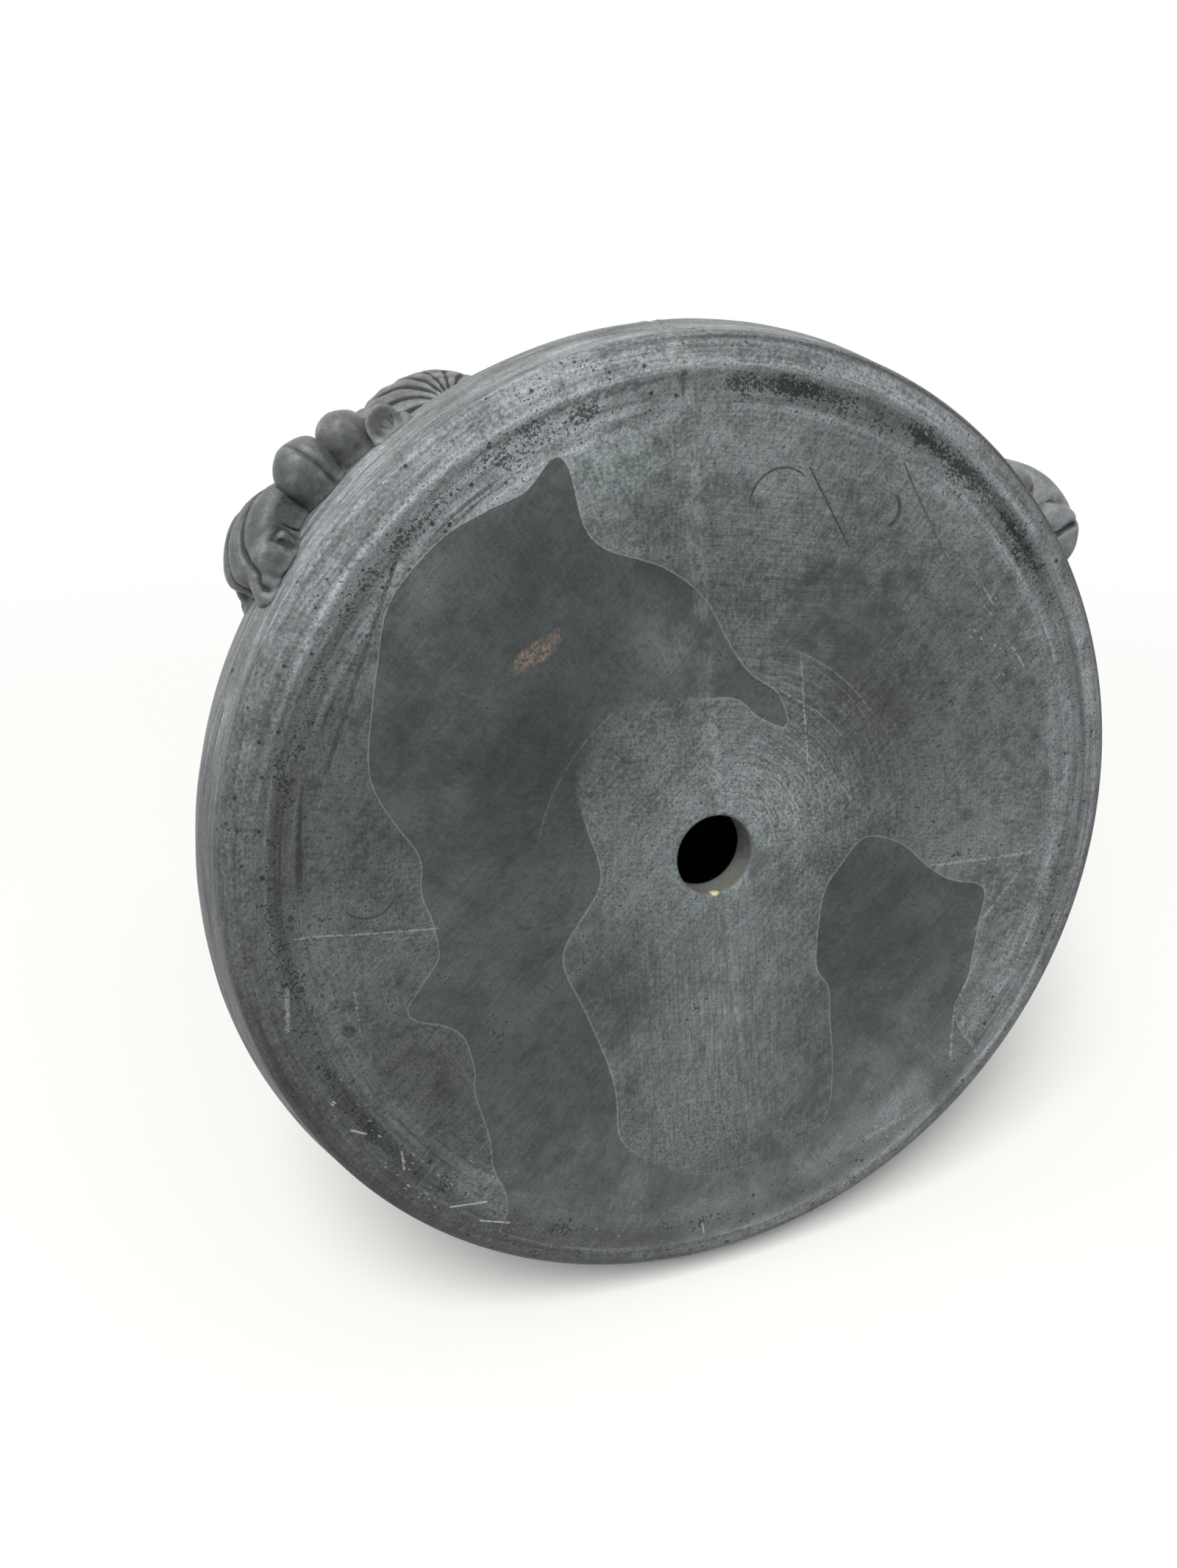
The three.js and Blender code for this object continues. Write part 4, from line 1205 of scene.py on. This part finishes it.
def wall_unevenness(points, body, open_joint):
    """How far the wall stands in or out: turning marks, waves, the mould seam and the ragged joint."""
    x, y, z = points.T
    low = bump_at(z - LEDGE_HEIGHT, 22)
    turning = np.sin(z / 1.25 + 2.5 * rough(points, 60, 1.7)) * (0.4 + 0.6 * rough(points, 25, 5.2))
    shape = body.ripple * turning * (0.15 + low)
    shape += body.wobble * rough(points, 90, 7.7) * ramp_up(z - 12, 40)
    shape += 0.25 * low * rough(points * np.array([0.25, 0.25, 1.0]), 4, 2.2)
    across = seam_distance(x, y)
    shape += (0.16 * bump_at(np.abs(across) - 1.8, 1.0) - 0.4 * bump_at(across, 0.9)) * seam_fade(z)
    shape -= 0.9 * bump_at(z - WALL_FOOT, 0.9) * open_joint
    ragged = np.clip(rough(points, 5, 6.1) + 0.5 * rough(points, 2.4, 3.3), -1, 0.3)
    return shape + bump_at(z - WALL_FOOT, 1.0) * ragged * (0.45 + 0.35 * (x > 0))


def paint_wall(mesh, points, outside, open_joint):
    """Stores the marks of the wall: mould seam, unlit inside, low part, painted light and shade low on the
    wall, and the joint with its painted shade.
    """
    x, y, z = points.T
    paint(mesh, "seam", bump_at(seam_distance(x, y), 1.6) * seam_fade(z) * outside)
    paint(mesh, "inside", (1 - outside) * np.clip((345 - z) / 90, 0.35, 1))
    paint(mesh, "low", bump_at(z - LEDGE_HEIGHT, 45))
    # Painted light and shade low on the wall, lighter at the upper left and darker at the lower left
    shade = bump_at(z - LEDGE_HEIGHT, 14) * ring_profile(azimuths(points), WALL_LIGHT_AND_SHADE)
    paint(mesh, "tone", np.exp(shade))
    # Dark line of the open joint on the wall: painted shade in its gap, with grime
    paint(mesh, "joint", bump_at(z - WALL_FOOT + 0.2, 1.1) * open_joint * outside)


class VASE_OT_press_wall(bpy.types.Operator):
    """Makes the wall from its two pressed halves, smoothed into one along the mould seam"""
    bl_idname = "vase.press_wall"
    bl_label = "Press Wall"

    def execute(self, context):
        body = context.scene.vase_body
        outer, inner = wall_rows()
        rings = rings_at(outer + inner, spokes(body.columns))
        outside = np.zeros(rings.shape[:2])
        outside[:len(outer)] = 1
        outside = outside.ravel()
        points = rings.reshape(-1, 3)
        open_joint = ring_profile(azimuths(points), JOINT_STRENGTH)
        shape = wall_unevenness(points, body, open_joint) * outside
        moved = points + away_from_axis(points) * shape[:, None]
        mesh = turned_mesh("wall", moved.reshape(rings.shape))
        paint_wall(mesh, points, outside, open_joint)
        finish_piece("wall", mesh, "wall", "wall_left", "wall_right")
        return {"FINISHED"}


class VASE_OT_roll_lip(bpy.types.Operator):
    """Makes the rolled lip that closes the top"""
    bl_idname = "vase.roll_lip"
    bl_label = "Roll Lip"

    def execute(self, context):
        bottom = WALL_TOP + LUTE_GAP
        bore = NECK_RADIUS - WALL_THICKNESS
        groove = bore + TONGUE_WIDTH + LUTE_GAP
        rows = [(NECK_RADIUS, bottom)]
        for turn in np.radians(np.linspace(-50, 155, 26)):
            rows.append((
                NECK_RADIUS - 1 + LIP_ROLL * math.cos(turn), HEIGHT - LIP_ROLL + LIP_ROLL * math.sin(turn),
            ))
        rows += [(bore, bottom + 8), (bore, bottom + 4), (groove, bottom + 4), (groove, bottom)]
        rings = rings_at(rows, spokes(context.scene.vase_body.columns))
        points = rings.reshape(-1, 3)
        pressed = ramp_up(points[:, 2] - bottom - 2, 5)
        shape = pressed * (0.45 * rough(points, 30, 2.9) + 0.2 * rough(points, 10, 6.6))
        moved = points + away_from_axis(points) * shape[:, None]
        moved[:, 2] -= pressed * 0.35 * (1 + rough(moved, 36, 8.1))
        mesh = turned_mesh("lip", moved.reshape(rings.shape))
        paint(mesh, "tone", np.ones(len(points)))
        finish_piece("lip", mesh, "wall", "lip_coil")
        return {"FINISHED"}


def set_inputs(modifier, **values):
    """Sets a Geometry Nodes modifier's inputs by the names of its sockets."""
    for item in modifier.node_group.interface.items_tree:
        key = item.name.replace(" ", "_").lower()
        if item.item_type == "SOCKET" and item.in_out == "INPUT" and key in values:
            modifier[item.identifier] = values[key]


def settled(source, name):
    """Plain smooth mesh of an object's evaluated modifiers; the source object is removed."""
    evaluated = source.evaluated_get(bpy.context.evaluated_depsgraph_get())
    mesh = bpy.data.meshes.new_from_object(evaluated)
    mesh.name = name
    mesh.shade_smooth()
    bpy.data.objects.remove(source)
    return mesh


def close_tree(w, given, out, geometry):
    """Ends a Geometry Nodes tree as a real mesh with its material."""
    real = w.add("GeometryNodeRealizeInstances", {"Geometry": geometry}).outputs[0]
    dressed = w.add("GeometryNodeSetMaterial", {"Geometry": real, "Material": given["Material"]}).outputs[0]
    w.plug(out["Geometry"], dressed)
    return w.tree


@cache
def reeded_shell():
    """Geometry Nodes: a dome whose ribs fan out from a hinge below its lower edge."""
    sockets = {
        "Geometry": "mesh", "Half Width": 0.048, "Half Height": 0.046, "Proud": 0.044, "Sink": 0.02,
        "Ribs": 22, "Rib Depth": 0.09, "Hinge": -0.82, "Place": "vector", "Turn": 0.0, "Material": "material",
    }
    w, given, out = open_group("reeded shell", "GeometryNodeTree", sockets, {"Geometry": "mesh"})
    ball = w.add("GeometryNodeMeshUVSphere", {"Segments": 288, "Rings": 110, "Radius": 1.0}).outputs["Mesh"]
    x, y, z = w.parts(w.add("GeometryNodeInputPosition").outputs[0])
    rho = w.math("SQRT", w.math("ADD", w.product(x, x), w.product(y, y)))
    fan = w.math("ARCTAN2", x, w.math("SUBTRACT", y, given["Hinge"]))
    wave = w.math("ABSOLUTE", w.math("COSINE", w.product(fan, w.math("DIVIDE", given["Ribs"], 2.0))))
    valley = w.math("SUBTRACT", 1.0, w.math("POWER", wave, 0.7))
    growth = w.product(w.math("SINE", w.product(w.math("POWER", rho, 1.4), 34.0)), 0.006)
    reed = w.math("SUBTRACT", w.math("ADD", 1.0, growth), w.product(valley, given["Rib Depth"], rho))
    above = w.math("GREATER_THAN", z, 0.0)
    rise = w.mix(above, w.product(given["Sink"], z), w.product(given["Proud"], z, reed))
    across = w.product(x, given["Half Width"], reed)
    up = w.product(y, given["Half Height"], reed)
    local = w.joined(across, w.product(rise, -1.0), up)
    moved = w.vector("ADD", w.turned(local, given["Turn"]), given["Place"])
    placed = w.add("GeometryNodeSetPosition", {"Geometry": ball, "Position": moved}).outputs[0]
    return close_tree(w, given, out, placed)


@cache
def rolled_clay():
    """Geometry Nodes: tubes with an oval section along edge lines, flattened towards the wall."""
    sockets = {"Geometry": "mesh", "Sides": 24, "Material": "material"}
    w, given, out = open_group("rolled clay", "GeometryNodeTree", sockets, {"Geometry": "mesh"})

    def stored(geometry, name, value):
        inputs = {"Geometry": geometry, "Name": name, "Value": value}
        node = w.add("GeometryNodeStoreNamedAttribute", inputs, data_type="FLOAT_VECTOR", domain="POINT")
        return node.outputs[0]

    def named(name, kind):
        return w.add("GeometryNodeInputNamedAttribute", {"Name": name}, data_type=kind).outputs["Attribute"]

    line = w.add("GeometryNodeMeshToCurve", {"Mesh": given["Geometry"]}).outputs[0]
    line = stored(line, "centre", w.add("GeometryNodeInputPosition").outputs[0])
    line = stored(line, "along", w.add("GeometryNodeInputTangent").outputs[0])
    circle = {"Resolution": given["Sides"], "Radius": 0.002}
    section = w.add("GeometryNodeCurvePrimitiveCircle", circle).outputs[0]
    sweep = {"Curve": line, "Profile Curve": section, "Fill Caps": True}
    tube = w.add("GeometryNodeCurveToMesh", sweep).outputs[0]
    centre = named("centre", "FLOAT_VECTOR")
    along = named("along", "FLOAT_VECTOR")
    cx, cy, _ = w.parts(centre)
    outward = w.vector("NORMALIZE", w.joined(cx, cy, 0.0))
    sideways = w.vector("NORMALIZE", w.vector("CROSS_PRODUCT", along, outward))
    out_of_wall = w.vector("NORMALIZE", w.vector("CROSS_PRODUCT", sideways, along))
    spoke = w.vector("SUBTRACT", w.add("GeometryNodeInputPosition").outputs[0], centre)
    spoke = w.vector("NORMALIZE", spoke)
    wide = w.product(w.dot(spoke, sideways), named("half_width", "FLOAT"))
    deep = w.product(w.dot(spoke, out_of_wall), named("half_depth", "FLOAT"))
    offset = w.vector("ADD", w.vector("SCALE", sideways, wide), w.vector("SCALE", out_of_wall, deep))
    oval = {"Geometry": tube, "Position": w.vector("ADD", centre, offset)}
    return close_tree(w, given, out, w.add("GeometryNodeSetPosition", oval).outputs[0])


def add_tree(source, tree, **values):
    """Adds a Geometry Nodes modifier with its inputs."""
    modifier = source.modifiers.new(tree.name, "NODES")
    modifier.node_group = tree
    set_inputs(modifier, material=material_for("relief"), **values)


def route_rows(route, count):
    """Places along a route with its half width and half depth, closer together at its rounded ends."""
    stations = np.array(route, float)
    places = on_wall(stations[:, 0], stations[:, 1], stations[:, 2])
    turn = np.linspace(0, math.pi, count)
    rows = smooth_line(np.hstack([places, stations[:, 3:5]]), (1 - np.cos(turn)) / 2)
    rows[:, 3:] *= np.clip(np.minimum(1, END_ROUNDING * np.sin(turn)), 0.02, 1)[:, None]
    return rows


def rolled_mesh(name, routes, count, voxel):
    """Rolls of clay along the routes, joined into one smooth mesh by a voxel remesh."""
    mesh = bpy.data.meshes.new(name + "_lines")
    edges = [(k * count + i, k * count + i + 1) for k in range(len(routes)) for i in range(count - 1)]
    table = np.vstack([route_rows(route, count) for route in routes])
    mesh.from_pydata((table[:, :3] * MM).tolist(), edges, [])
    paint(mesh, "half_width", table[:, 3] * MM)
    paint(mesh, "half_depth", table[:, 4] * MM)
    source = link(name + "_lines", mesh)
    add_tree(source, rolled_clay(), sides=24)
    return remeshed(source, name, voxel, 4)


def remeshed(source, name, voxel, rounds):
    """Voxel remesh and smoothing of an object, as a plain mesh."""
    remesh = source.modifiers.new("remesh", "REMESH")
    remesh.mode = "VOXEL"
    remesh.voxel_size = voxel * MM
    smooth = source.modifiers.new("smooth", "SMOOTH")
    smooth.factor = 0.5
    smooth.iterations = rounds
    return settled(source, name)


def relaxed(points, edges, rounds):
    """Points drawn towards their neighbours a number of times."""
    count = np.bincount(edges.ravel(), minlength=len(points))[:, None]
    for _ in range(rounds):
        total = np.empty_like(points)
        for axis in range(3):
            ahead = np.bincount(edges[:, 0], weights=points[edges[:, 1], axis], minlength=len(points))
            back = np.bincount(edges[:, 1], weights=points[edges[:, 0], axis], minlength=len(points))
            total[:, axis] = ahead + back
        points = total / count
    return points


def depth_over_wall(points):
    """How far each point stands proud of the wall."""
    return np.hypot(points[:, 0], points[:, 1]) - wall_radius(points[:, 2])


def finish_relief(mesh, carve, flare=1.4, reach=3.2):
    """Carves a relief piece, presses it onto the wall, smears its foot out and marks its hollows and its foot
    for painted shade and its crests for painted highlights.
    """
    points = read_points(mesh)
    normals = read_vectors(mesh, "normal")
    points = points + normals * carve(points)[:, None]
    outward = away_from_axis(points)
    facing = np.einsum("ij,ij->i", normals, outward)
    back = np.clip(-1.4 * facing - 0.2, 0, 1)
    points = points - outward * (back * np.clip(depth_over_wall(points) + 1.2, 0, None))[:, None]
    low = np.clip(1 - depth_over_wall(points) / reach, 0, 1) ** 2
    points = points + (normals - outward * facing[:, None]) * (flare * low)[:, None]
    write_points(mesh, points)
    edges = np.empty(len(mesh.edges) * 2, int)
    mesh.edges.foreach_get("vertices", edges)
    average = relaxed(points, edges.reshape(-1, 2), 8)
    normals = read_vectors(mesh, "normal")
    # Hollowness, raised near the wall, drives the painted shade in the hollows and along the foot, and the
    # painted highlight on the crests
    paint(mesh, "hollow", np.einsum("ij,ij->i", average - points, normals) + 0.13 * low)


def route_place(points, route):
    """Distance along a route and sideways from it for each point, and the route's length."""
    rows = route_rows(route, 90)[:, :3]
    steps = np.concatenate([[0], np.cumsum(np.linalg.norm(np.diff(rows, axis=0), axis=1))])
    tangent = np.gradient(rows, axis=0)
    tangent /= np.linalg.norm(tangent, axis=1)[:, None]
    side = np.cross(tangent, away_from_axis(rows))
    along = np.empty(len(points))
    sideways = np.empty(len(points))
    for start in range(0, len(points), 4000):
        part = slice(start, start + 4000)
        gap = np.linalg.norm(points[part, None, :] - rows[None], axis=2)
        near = gap.argmin(axis=1)
        along[part] = steps[near]
        sideways[part] = np.einsum("ij,ij->i", points[part] - rows[near], side[near])
    return along, sideways, steps[-1]


def mirrored(route, sign):
    return [(sign * row[0], *row[1:]) for row in route]


class VASE_OT_model_shell(bpy.types.Operator):
    """Makes the reeded shell high on the front"""
    bl_idname = "vase.model_shell"
    bl_label = "Model Shell"

    def execute(self, context):
        relief = context.scene.vase_relief
        turn = math.radians(SHELL_PLACE[0])
        source = link("shell_source", bpy.data.meshes.new("shell_source"))
        add_tree(
            source, reeded_shell(), half_width=relief.shell_half_width * MM,
            half_height=relief.shell_half_height * MM, proud=relief.shell_proud * MM, sink=SHELL_SINK * MM,
            ribs=relief.shell_ribs, rib_depth=relief.shell_rib_depth, turn=turn,
            place=[float(c) * MM for c in on_wall(*SHELL_PLACE, 0)],
        )
        mesh = settled(source, "shell")
        finish_relief(mesh, lambda points: 0.3 * rough(points, 16, 5.5), flare=2.6, reach=5)
        finish_piece("shell", mesh, "relief", "shell_boss")
        return {"FINISHED"}


def carve_leaf(route):
    """Mid vein, side veins and the deep folds at the leaf's turned tip."""
    def carve(points):
        along, side, length = route_place(points, route)
        share = along / length
        front = ramp_up(depth_over_wall(points), 2.5)
        vein = -0.9 * bump_at(side, 1.1) * bump_at(share - 0.35, 0.42)
        slant = np.clip(np.sin((along - 1.1 * np.abs(side)) / 1.9), 0, 1) ** 3
        veins = -0.32 * slant * ramp_up(np.abs(side) - 1.5, 2) * bump_at(share - 0.4, 0.3)
        wave = np.clip(np.cos(side * 2 * math.pi / 7.4 + 1.2 * np.sin(6 * share)), 0, 1) ** 4
        folds = -1.5 * wave * ramp_up(share - 0.55, 0.2)
        return front * (vein + veins + folds) + 0.25 * rough(points, 9, 1.1)
    return carve


def carve_leaflet(routes):
    """Veins of the leaflets that lie beside the stem."""
    def carve(points):
        front = ramp_up(depth_over_wall(points), 1.6)
        depth = 0.22 * rough(points, 8, 3.7)
        for route in routes:
            along, side, length = route_place(points, route)
            share = along / length
            half = 9 * np.sin(math.pi * np.clip(share, 0, 1))
            inside = ramp_up(half - np.abs(side), 2) * ((share > 0.02) & (share < 0.98))
            slant = np.clip(np.sin((along - 1.2 * np.abs(side)) / 1.5), 0, 1) ** 3
            depth = depth - front * inside * (0.7 * bump_at(side, 0.9) + 0.22 * slant)
        return depth
    return carve


def leaf_stations(route, side):
    """Stations of one leaf or lobe, turned and lifted as its side of the vase has them."""
    last = len(route) - 1
    rows = [
        (angle + LEAF_TURN[side], z, proud + LEAF_LIFT[side] * math.sin(math.pi * i / last), wide, deep)
        for i, (angle, z, proud, wide, deep) in enumerate(route)
    ]
    return mirrored(rows, SIDES[side])


class VASE_OT_roll_leaves(bpy.types.Operator):
    """Makes the rolled leaves low on the wall"""
    bl_idname = "vase.roll_leaves"
    bl_label = "Roll Leaves"

    def execute(self, context):
        for side in SIDES:
            routes = [leaf_stations(route, side) for route in (LEAF_ROUTE, *LOBE_ROUTES)]
            mesh = rolled_mesh("leaf_" + side, routes, LEAF_STEPS, context.scene.vase_relief.voxel)
            finish_relief(mesh, carve_leaf(routes[0]))
            finish_piece("rolled_leaf_" + side, mesh, "relief", "leaf_" + side)
        return {"FINISHED"}


def berry_mesh(name, angle, height, proud, radius, lobes):
    """Ball of clay pressed onto the wall, with folds like a closed bud."""
    lat = np.linspace(0.06, math.pi - 0.06, BERRY_RINGS)[:, None]
    lon = np.linspace(0, 2 * math.pi, BERRY_COLUMNS, endpoint=False)[None]
    ball = np.stack([np.sin(lat) * np.cos(lon), np.sin(lat) * np.sin(lon), np.cos(lat) + 0 * lon], axis=-1)
    index = np.arange(lat.size * lon.size).reshape(lat.size, lon.size)
    faces = quads_between(index) + [index[0, ::-1].tolist(), index[-1].tolist()]
    centre = on_wall(angle, height, proud)
    mesh = closed_mesh(name, centre + radius * ball.reshape(-1, 3), faces)
    azimuth = math.radians(angle - 90)
    tangent = np.array([-math.sin(azimuth), math.cos(azimuth), 0])

    def carve(points):
        spoke = (points - centre) / radius
        dents = 0.55 * rough(points, 8, radius) + 0.2 * rough(points, 3, radius)
        turn = np.arctan2(spoke @ tangent, spoke[:, 2])
        open_share = np.clip(np.hypot(spoke @ tangent, spoke[:, 2]), 0, 1)
        fold = np.clip(np.cos(lobes / 2 * (turn + 0.35)), 0, 1) ** 24
        return dents - 0.8 * fold * open_share

    finish_relief(mesh, carve, flare=1.8, reach=3.5)
    return mesh


class VASE_OT_set_berries(bpy.types.Operator):
    """Makes the round knops and buds beside the leaves"""
    bl_idname = "vase.set_berries"
    bl_label = "Set Berries"

    def execute(self, context):
        for side, sign in SIDES.items():
            for kind, (radius, lobes) in BERRIES.items():
                angle, height, proud = PLACES[side][kind]
                mesh = berry_mesh(f"{kind}_{side}", sign * angle, height, proud, radius, lobes)
                finish_piece(f"round_{kind}_{side}", mesh, "relief", f"{kind}_{side}")
        return {"FINISHED"}


def scroll_mesh(name, angle, height, proud):
    """Strip of clay rolled up on itself, upright and drawn in at its waist."""
    share = np.linspace(0, 1, SCROLL_STEPS)
    turn = share * SCROLL_TURNS * 2 * math.pi + math.radians(angle)
    middle = (SCROLL_RADIUS - SCROLL_STRIP / 2) - share * (SCROLL_RADIUS - SCROLL_STRIP * 1.05)
    thick = SCROLL_STRIP / 2 * np.clip(np.minimum(share / 0.03, (1 - share) / 0.05), 0.15, 1)
    radius = np.concatenate([middle + thick, (middle - thick)[::-1]])
    turn = np.concatenate([turn, turn[::-1]])
    loop = radius[:, None] * np.stack([np.cos(turn), np.sin(turn)], axis=-1)
    waist = SCROLL_WAIST / SCROLL_RADIUS
    rings = []
    for level in np.linspace(-1, 1, SCROLL_LEVELS):
        narrow = waist + (1 - waist) * level**2
        rings.append(np.hstack([loop * narrow, np.full((len(loop), 1), level * SCROLL_LENGTH / 2)]))
    rings = np.array(rings)
    index = np.arange(rings.shape[0] * rings.shape[1]).reshape(rings.shape[:2])
    faces = quads_between(index)
    for row in (index[0], index[-1]):
        back = row[::-1]
        cap = np.stack([row, np.roll(row, -1), np.roll(back, -1), back], axis=-1)
        faces += cap[:SCROLL_STEPS - 1].tolist()
    source = closed_mesh(name, rings.reshape(-1, 3) + on_wall(angle, height, proud), faces)
    mesh = remeshed(link(name, source), name, SCROLL_VOXEL, 3)
    finish_relief(mesh, lambda points: 0.16 * rough(points, 6, 2.5), flare=1.2, reach=3)
    return mesh


class VASE_OT_roll_scrolls(bpy.types.Operator):
    """Makes the small rolled scrolls"""
    bl_idname = "vase.roll_scrolls"
    bl_label = "Roll Scrolls"

    def execute(self, context):
        for side, sign in SIDES.items():
            angle, height, proud = PLACES[side]["scroll"]
            mesh = scroll_mesh("scroll_" + side, sign * angle, height, proud)
            finish_piece("rolled_scroll_" + side, mesh, "relief", "scroll_" + side)
        return {"FINISHED"}


def curl_stations():
    """Stations of the curl that ends the stem beside the shell."""
    per_degree = math.radians(1) * float(wall_radius(CURL["height"]))
    rows = []
    for share in np.arange(1, CURL_STATIONS + 1) / CURL_STATIONS:
        turn = math.pi * (1 - 2 * CURL["turns"] * share)
        r = CURL["radius"] + (CURL["end"] - CURL["radius"]) * share
        width = CURL_WIDTHS[0] + (CURL_WIDTHS[1] - CURL_WIDTHS[0]) * share
        angle = CURL["angle"] + r * math.cos(turn) / per_degree
        rows.append((angle, CURL["height"] + r * math.sin(turn), CURL["proud"], width, 0.9 * width))
    return rows


class VASE_OT_trail_stems(bpy.types.Operator):
    """Makes the stems with their leaflets and curls"""
    bl_idname = "vase.trail_stems"
    bl_label = "Trail Stems"

    def execute(self, context):
        for side, sign in SIDES.items():
            routes = [mirrored(route, sign) for route in (STEM_RISE + curl_stations(), *LEAFLET_ROUTES)]
            mesh = rolled_mesh("stem_" + side, routes, STEM_STEPS, context.scene.vase_relief.voxel)
            finish_relief(mesh, carve_leaflet(routes[1:]))
            finish_piece("trailing_stem_" + side, mesh, "relief", "stem_" + side)
        return {"FINISHED"}


# The vase is shown tipped over: which way is up from the floor, seen from the vase
FLOOR_UP = Vector((-0.053, -0.9915, -0.117)).normalized()
FLOOR_REACH = 4.0
KEY_PLACE = (-0.55, -1.25, -0.75)
KEY_SPREAD = 32
SIDE_PLACE = (-0.9, -0.75, -1.1)
SIDE_SIZE = 0.5
LAMP_AIM = Vector((0.0, 0.0, 0.05))


class VASE_OT_set_stage(bpy.types.Operator):
    """Makes the pale floor, the soft light and the camera"""
    bl_idname = "vase.set_stage"
    bl_label = "Set Stage"

    def execute(self, context):
        scene = context.scene
        stage = scene.vase_stage
        camera = bpy.data.cameras.new("camera")
        camera.lens = stage.lens
        camera.sensor_width = 36.0
        camera.clip_start = 0.01
        camera.clip_end = 20.0
        eye = link("camera", camera)
        eye.location = stage.camera_place
        eye.rotation_euler = Euler(stage.camera_turn)
        scene.camera = eye
        scene.view_settings.view_transform = "Standard"
        lowest = min((Vector(p) * MM).dot(FLOOR_UP) for p in self.outline_points())
        self.make_floor(lowest - stage.floor_gap * MM)
        key = self.add_lamp("key", "SUN", KEY_PLACE, stage.key_strength)
        key.angle = math.radians(KEY_SPREAD)
        side = self.add_lamp("side", "AREA", SIDE_PLACE, stage.side_power)
        side.shape = "DISK"
        side.size = SIDE_SIZE
        self.make_world(scene, stage.ambient)
        return {"FINISHED"}

    def outline_points(self):
        """Points all round the widest and the outermost parts of the vase."""
        rows = [(float(wall_radius(z)), z) for z in (7, 21, 45, 72, 165, 315)]
        rows.append((NECK_RADIUS + 7, 372))
        return rings_at(rows, np.linspace(0, 2 * math.pi, 60, endpoint=False)).reshape(-1, 3)

    def make_floor(self, level):
        side = FLOOR_UP.cross(Vector((0, 0, 1))).normalized() * FLOOR_REACH
        ahead = side.cross(FLOOR_UP)
        middle = FLOOR_UP * level
        corners = [middle - side - ahead, middle + side - ahead, middle + side + ahead, middle - side + ahead]
        mesh = bpy.data.meshes.new("floor")
        mesh.from_pydata([tuple(c) for c in corners], [], [(0, 1, 2, 3)])
        if mesh.polygons[0].normal.dot(FLOOR_UP) < 0:
            mesh.flip_normals()
        material, w, place, surface = open_material("pale floor")
        surface.inputs["Base Color"].default_value = (0.93, 0.925, 0.9, 1)
        surface.inputs["Roughness"].default_value = 0.9
        surface.inputs["Specular IOR Level"].default_value = 0.0
        camera_ray = w.add("ShaderNodeLightPath").outputs["Is Camera Ray"]
        front = w.math("SUBTRACT", 1.0, w.add("ShaderNodeNewGeometry").outputs["Backfacing"])
        near = w.fade(w.vector("LENGTH", place, output="Value"), 0.55, 1.3)
        clear = w.add("ShaderNodeBsdfTransparent").outputs[0]
        mixed = {0: w.product(camera_ray, w.product(front, near)), 1: clear, 2: surface.outputs[0]}
        shown = w.add("ShaderNodeMixShader", mixed).outputs[0]
        w.plug(w.tree.nodes["Material Output"].inputs["Surface"], shown)
        mesh.materials.append(material)
        link("floor", mesh)

    def add_lamp(self, name, kind, place, energy):
        lamp = bpy.data.lights.new(name, kind)
        lamp.energy = energy
        body = link(name, lamp)
        body.location = place
        body.rotation_euler = (LAMP_AIM - Vector(place)).to_track_quat("-Z", "Y").to_euler()
        return lamp

    def make_world(self, scene, ambient):
        world = bpy.data.worlds.new("studio")
        scene.world = world
        world.use_nodes = True
        w = Wiring(world.node_tree)
        background = world.node_tree.nodes["Background"]
        path = w.add("ShaderNodeLightPath").outputs
        seen = w.most(path["Is Camera Ray"], path["Is Glossy Ray"])
        w.plug(background.inputs["Strength"], w.mix(seen, ambient, 1.0))
        background.inputs["Color"].default_value = (1, 1, 1, 1)


class VASE_PT_panel(bpy.types.Panel):
    """Lists the steps that build the vase"""
    bl_idname = "VASE_PT_panel"
    bl_label = "Stoneware Vase"
    bl_space_type = "VIEW_3D"
    bl_region_type = "UI"
    bl_category = "Vase"

    def draw(self, context):
        for operator in STEPS:
            self.layout.operator(operator.bl_idname)
        for group in (getattr(context.scene, name) for name in GROUPS):
            box = self.layout.box()
            for name in group.bl_rna.properties.keys():
                if name not in ("rna_type", "name"):
                    box.prop(group, name)


STEPS = (
    VASE_OT_set_stage, VASE_OT_turn_slab, VASE_OT_press_wall, VASE_OT_roll_lip, VASE_OT_model_shell,
    VASE_OT_roll_leaves, VASE_OT_set_berries, VASE_OT_roll_scrolls, VASE_OT_trail_stems,
)
GROUPS = {"vase_body": VaseBody, "vase_relief": VaseRelief, "vase_clay": VaseClay, "vase_stage": VaseStage}


def register():
    for cls in (*GROUPS.values(), *STEPS, VASE_PT_panel):
        bpy.utils.register_class(cls)
    for name, cls in GROUPS.items():
        setattr(bpy.types.Scene, name, PointerProperty(type=cls))


def unregister():
    for name in GROUPS:
        delattr(bpy.types.Scene, name)
    for cls in reversed((*GROUPS.values(), *STEPS, VASE_PT_panel)):
        bpy.utils.unregister_class(cls)


def main():
    register()
    for step in STEPS:
        family, name = step.bl_idname.split(".")
        getattr(getattr(bpy.ops, family), name)()


if __name__ == "__main__":
    main()
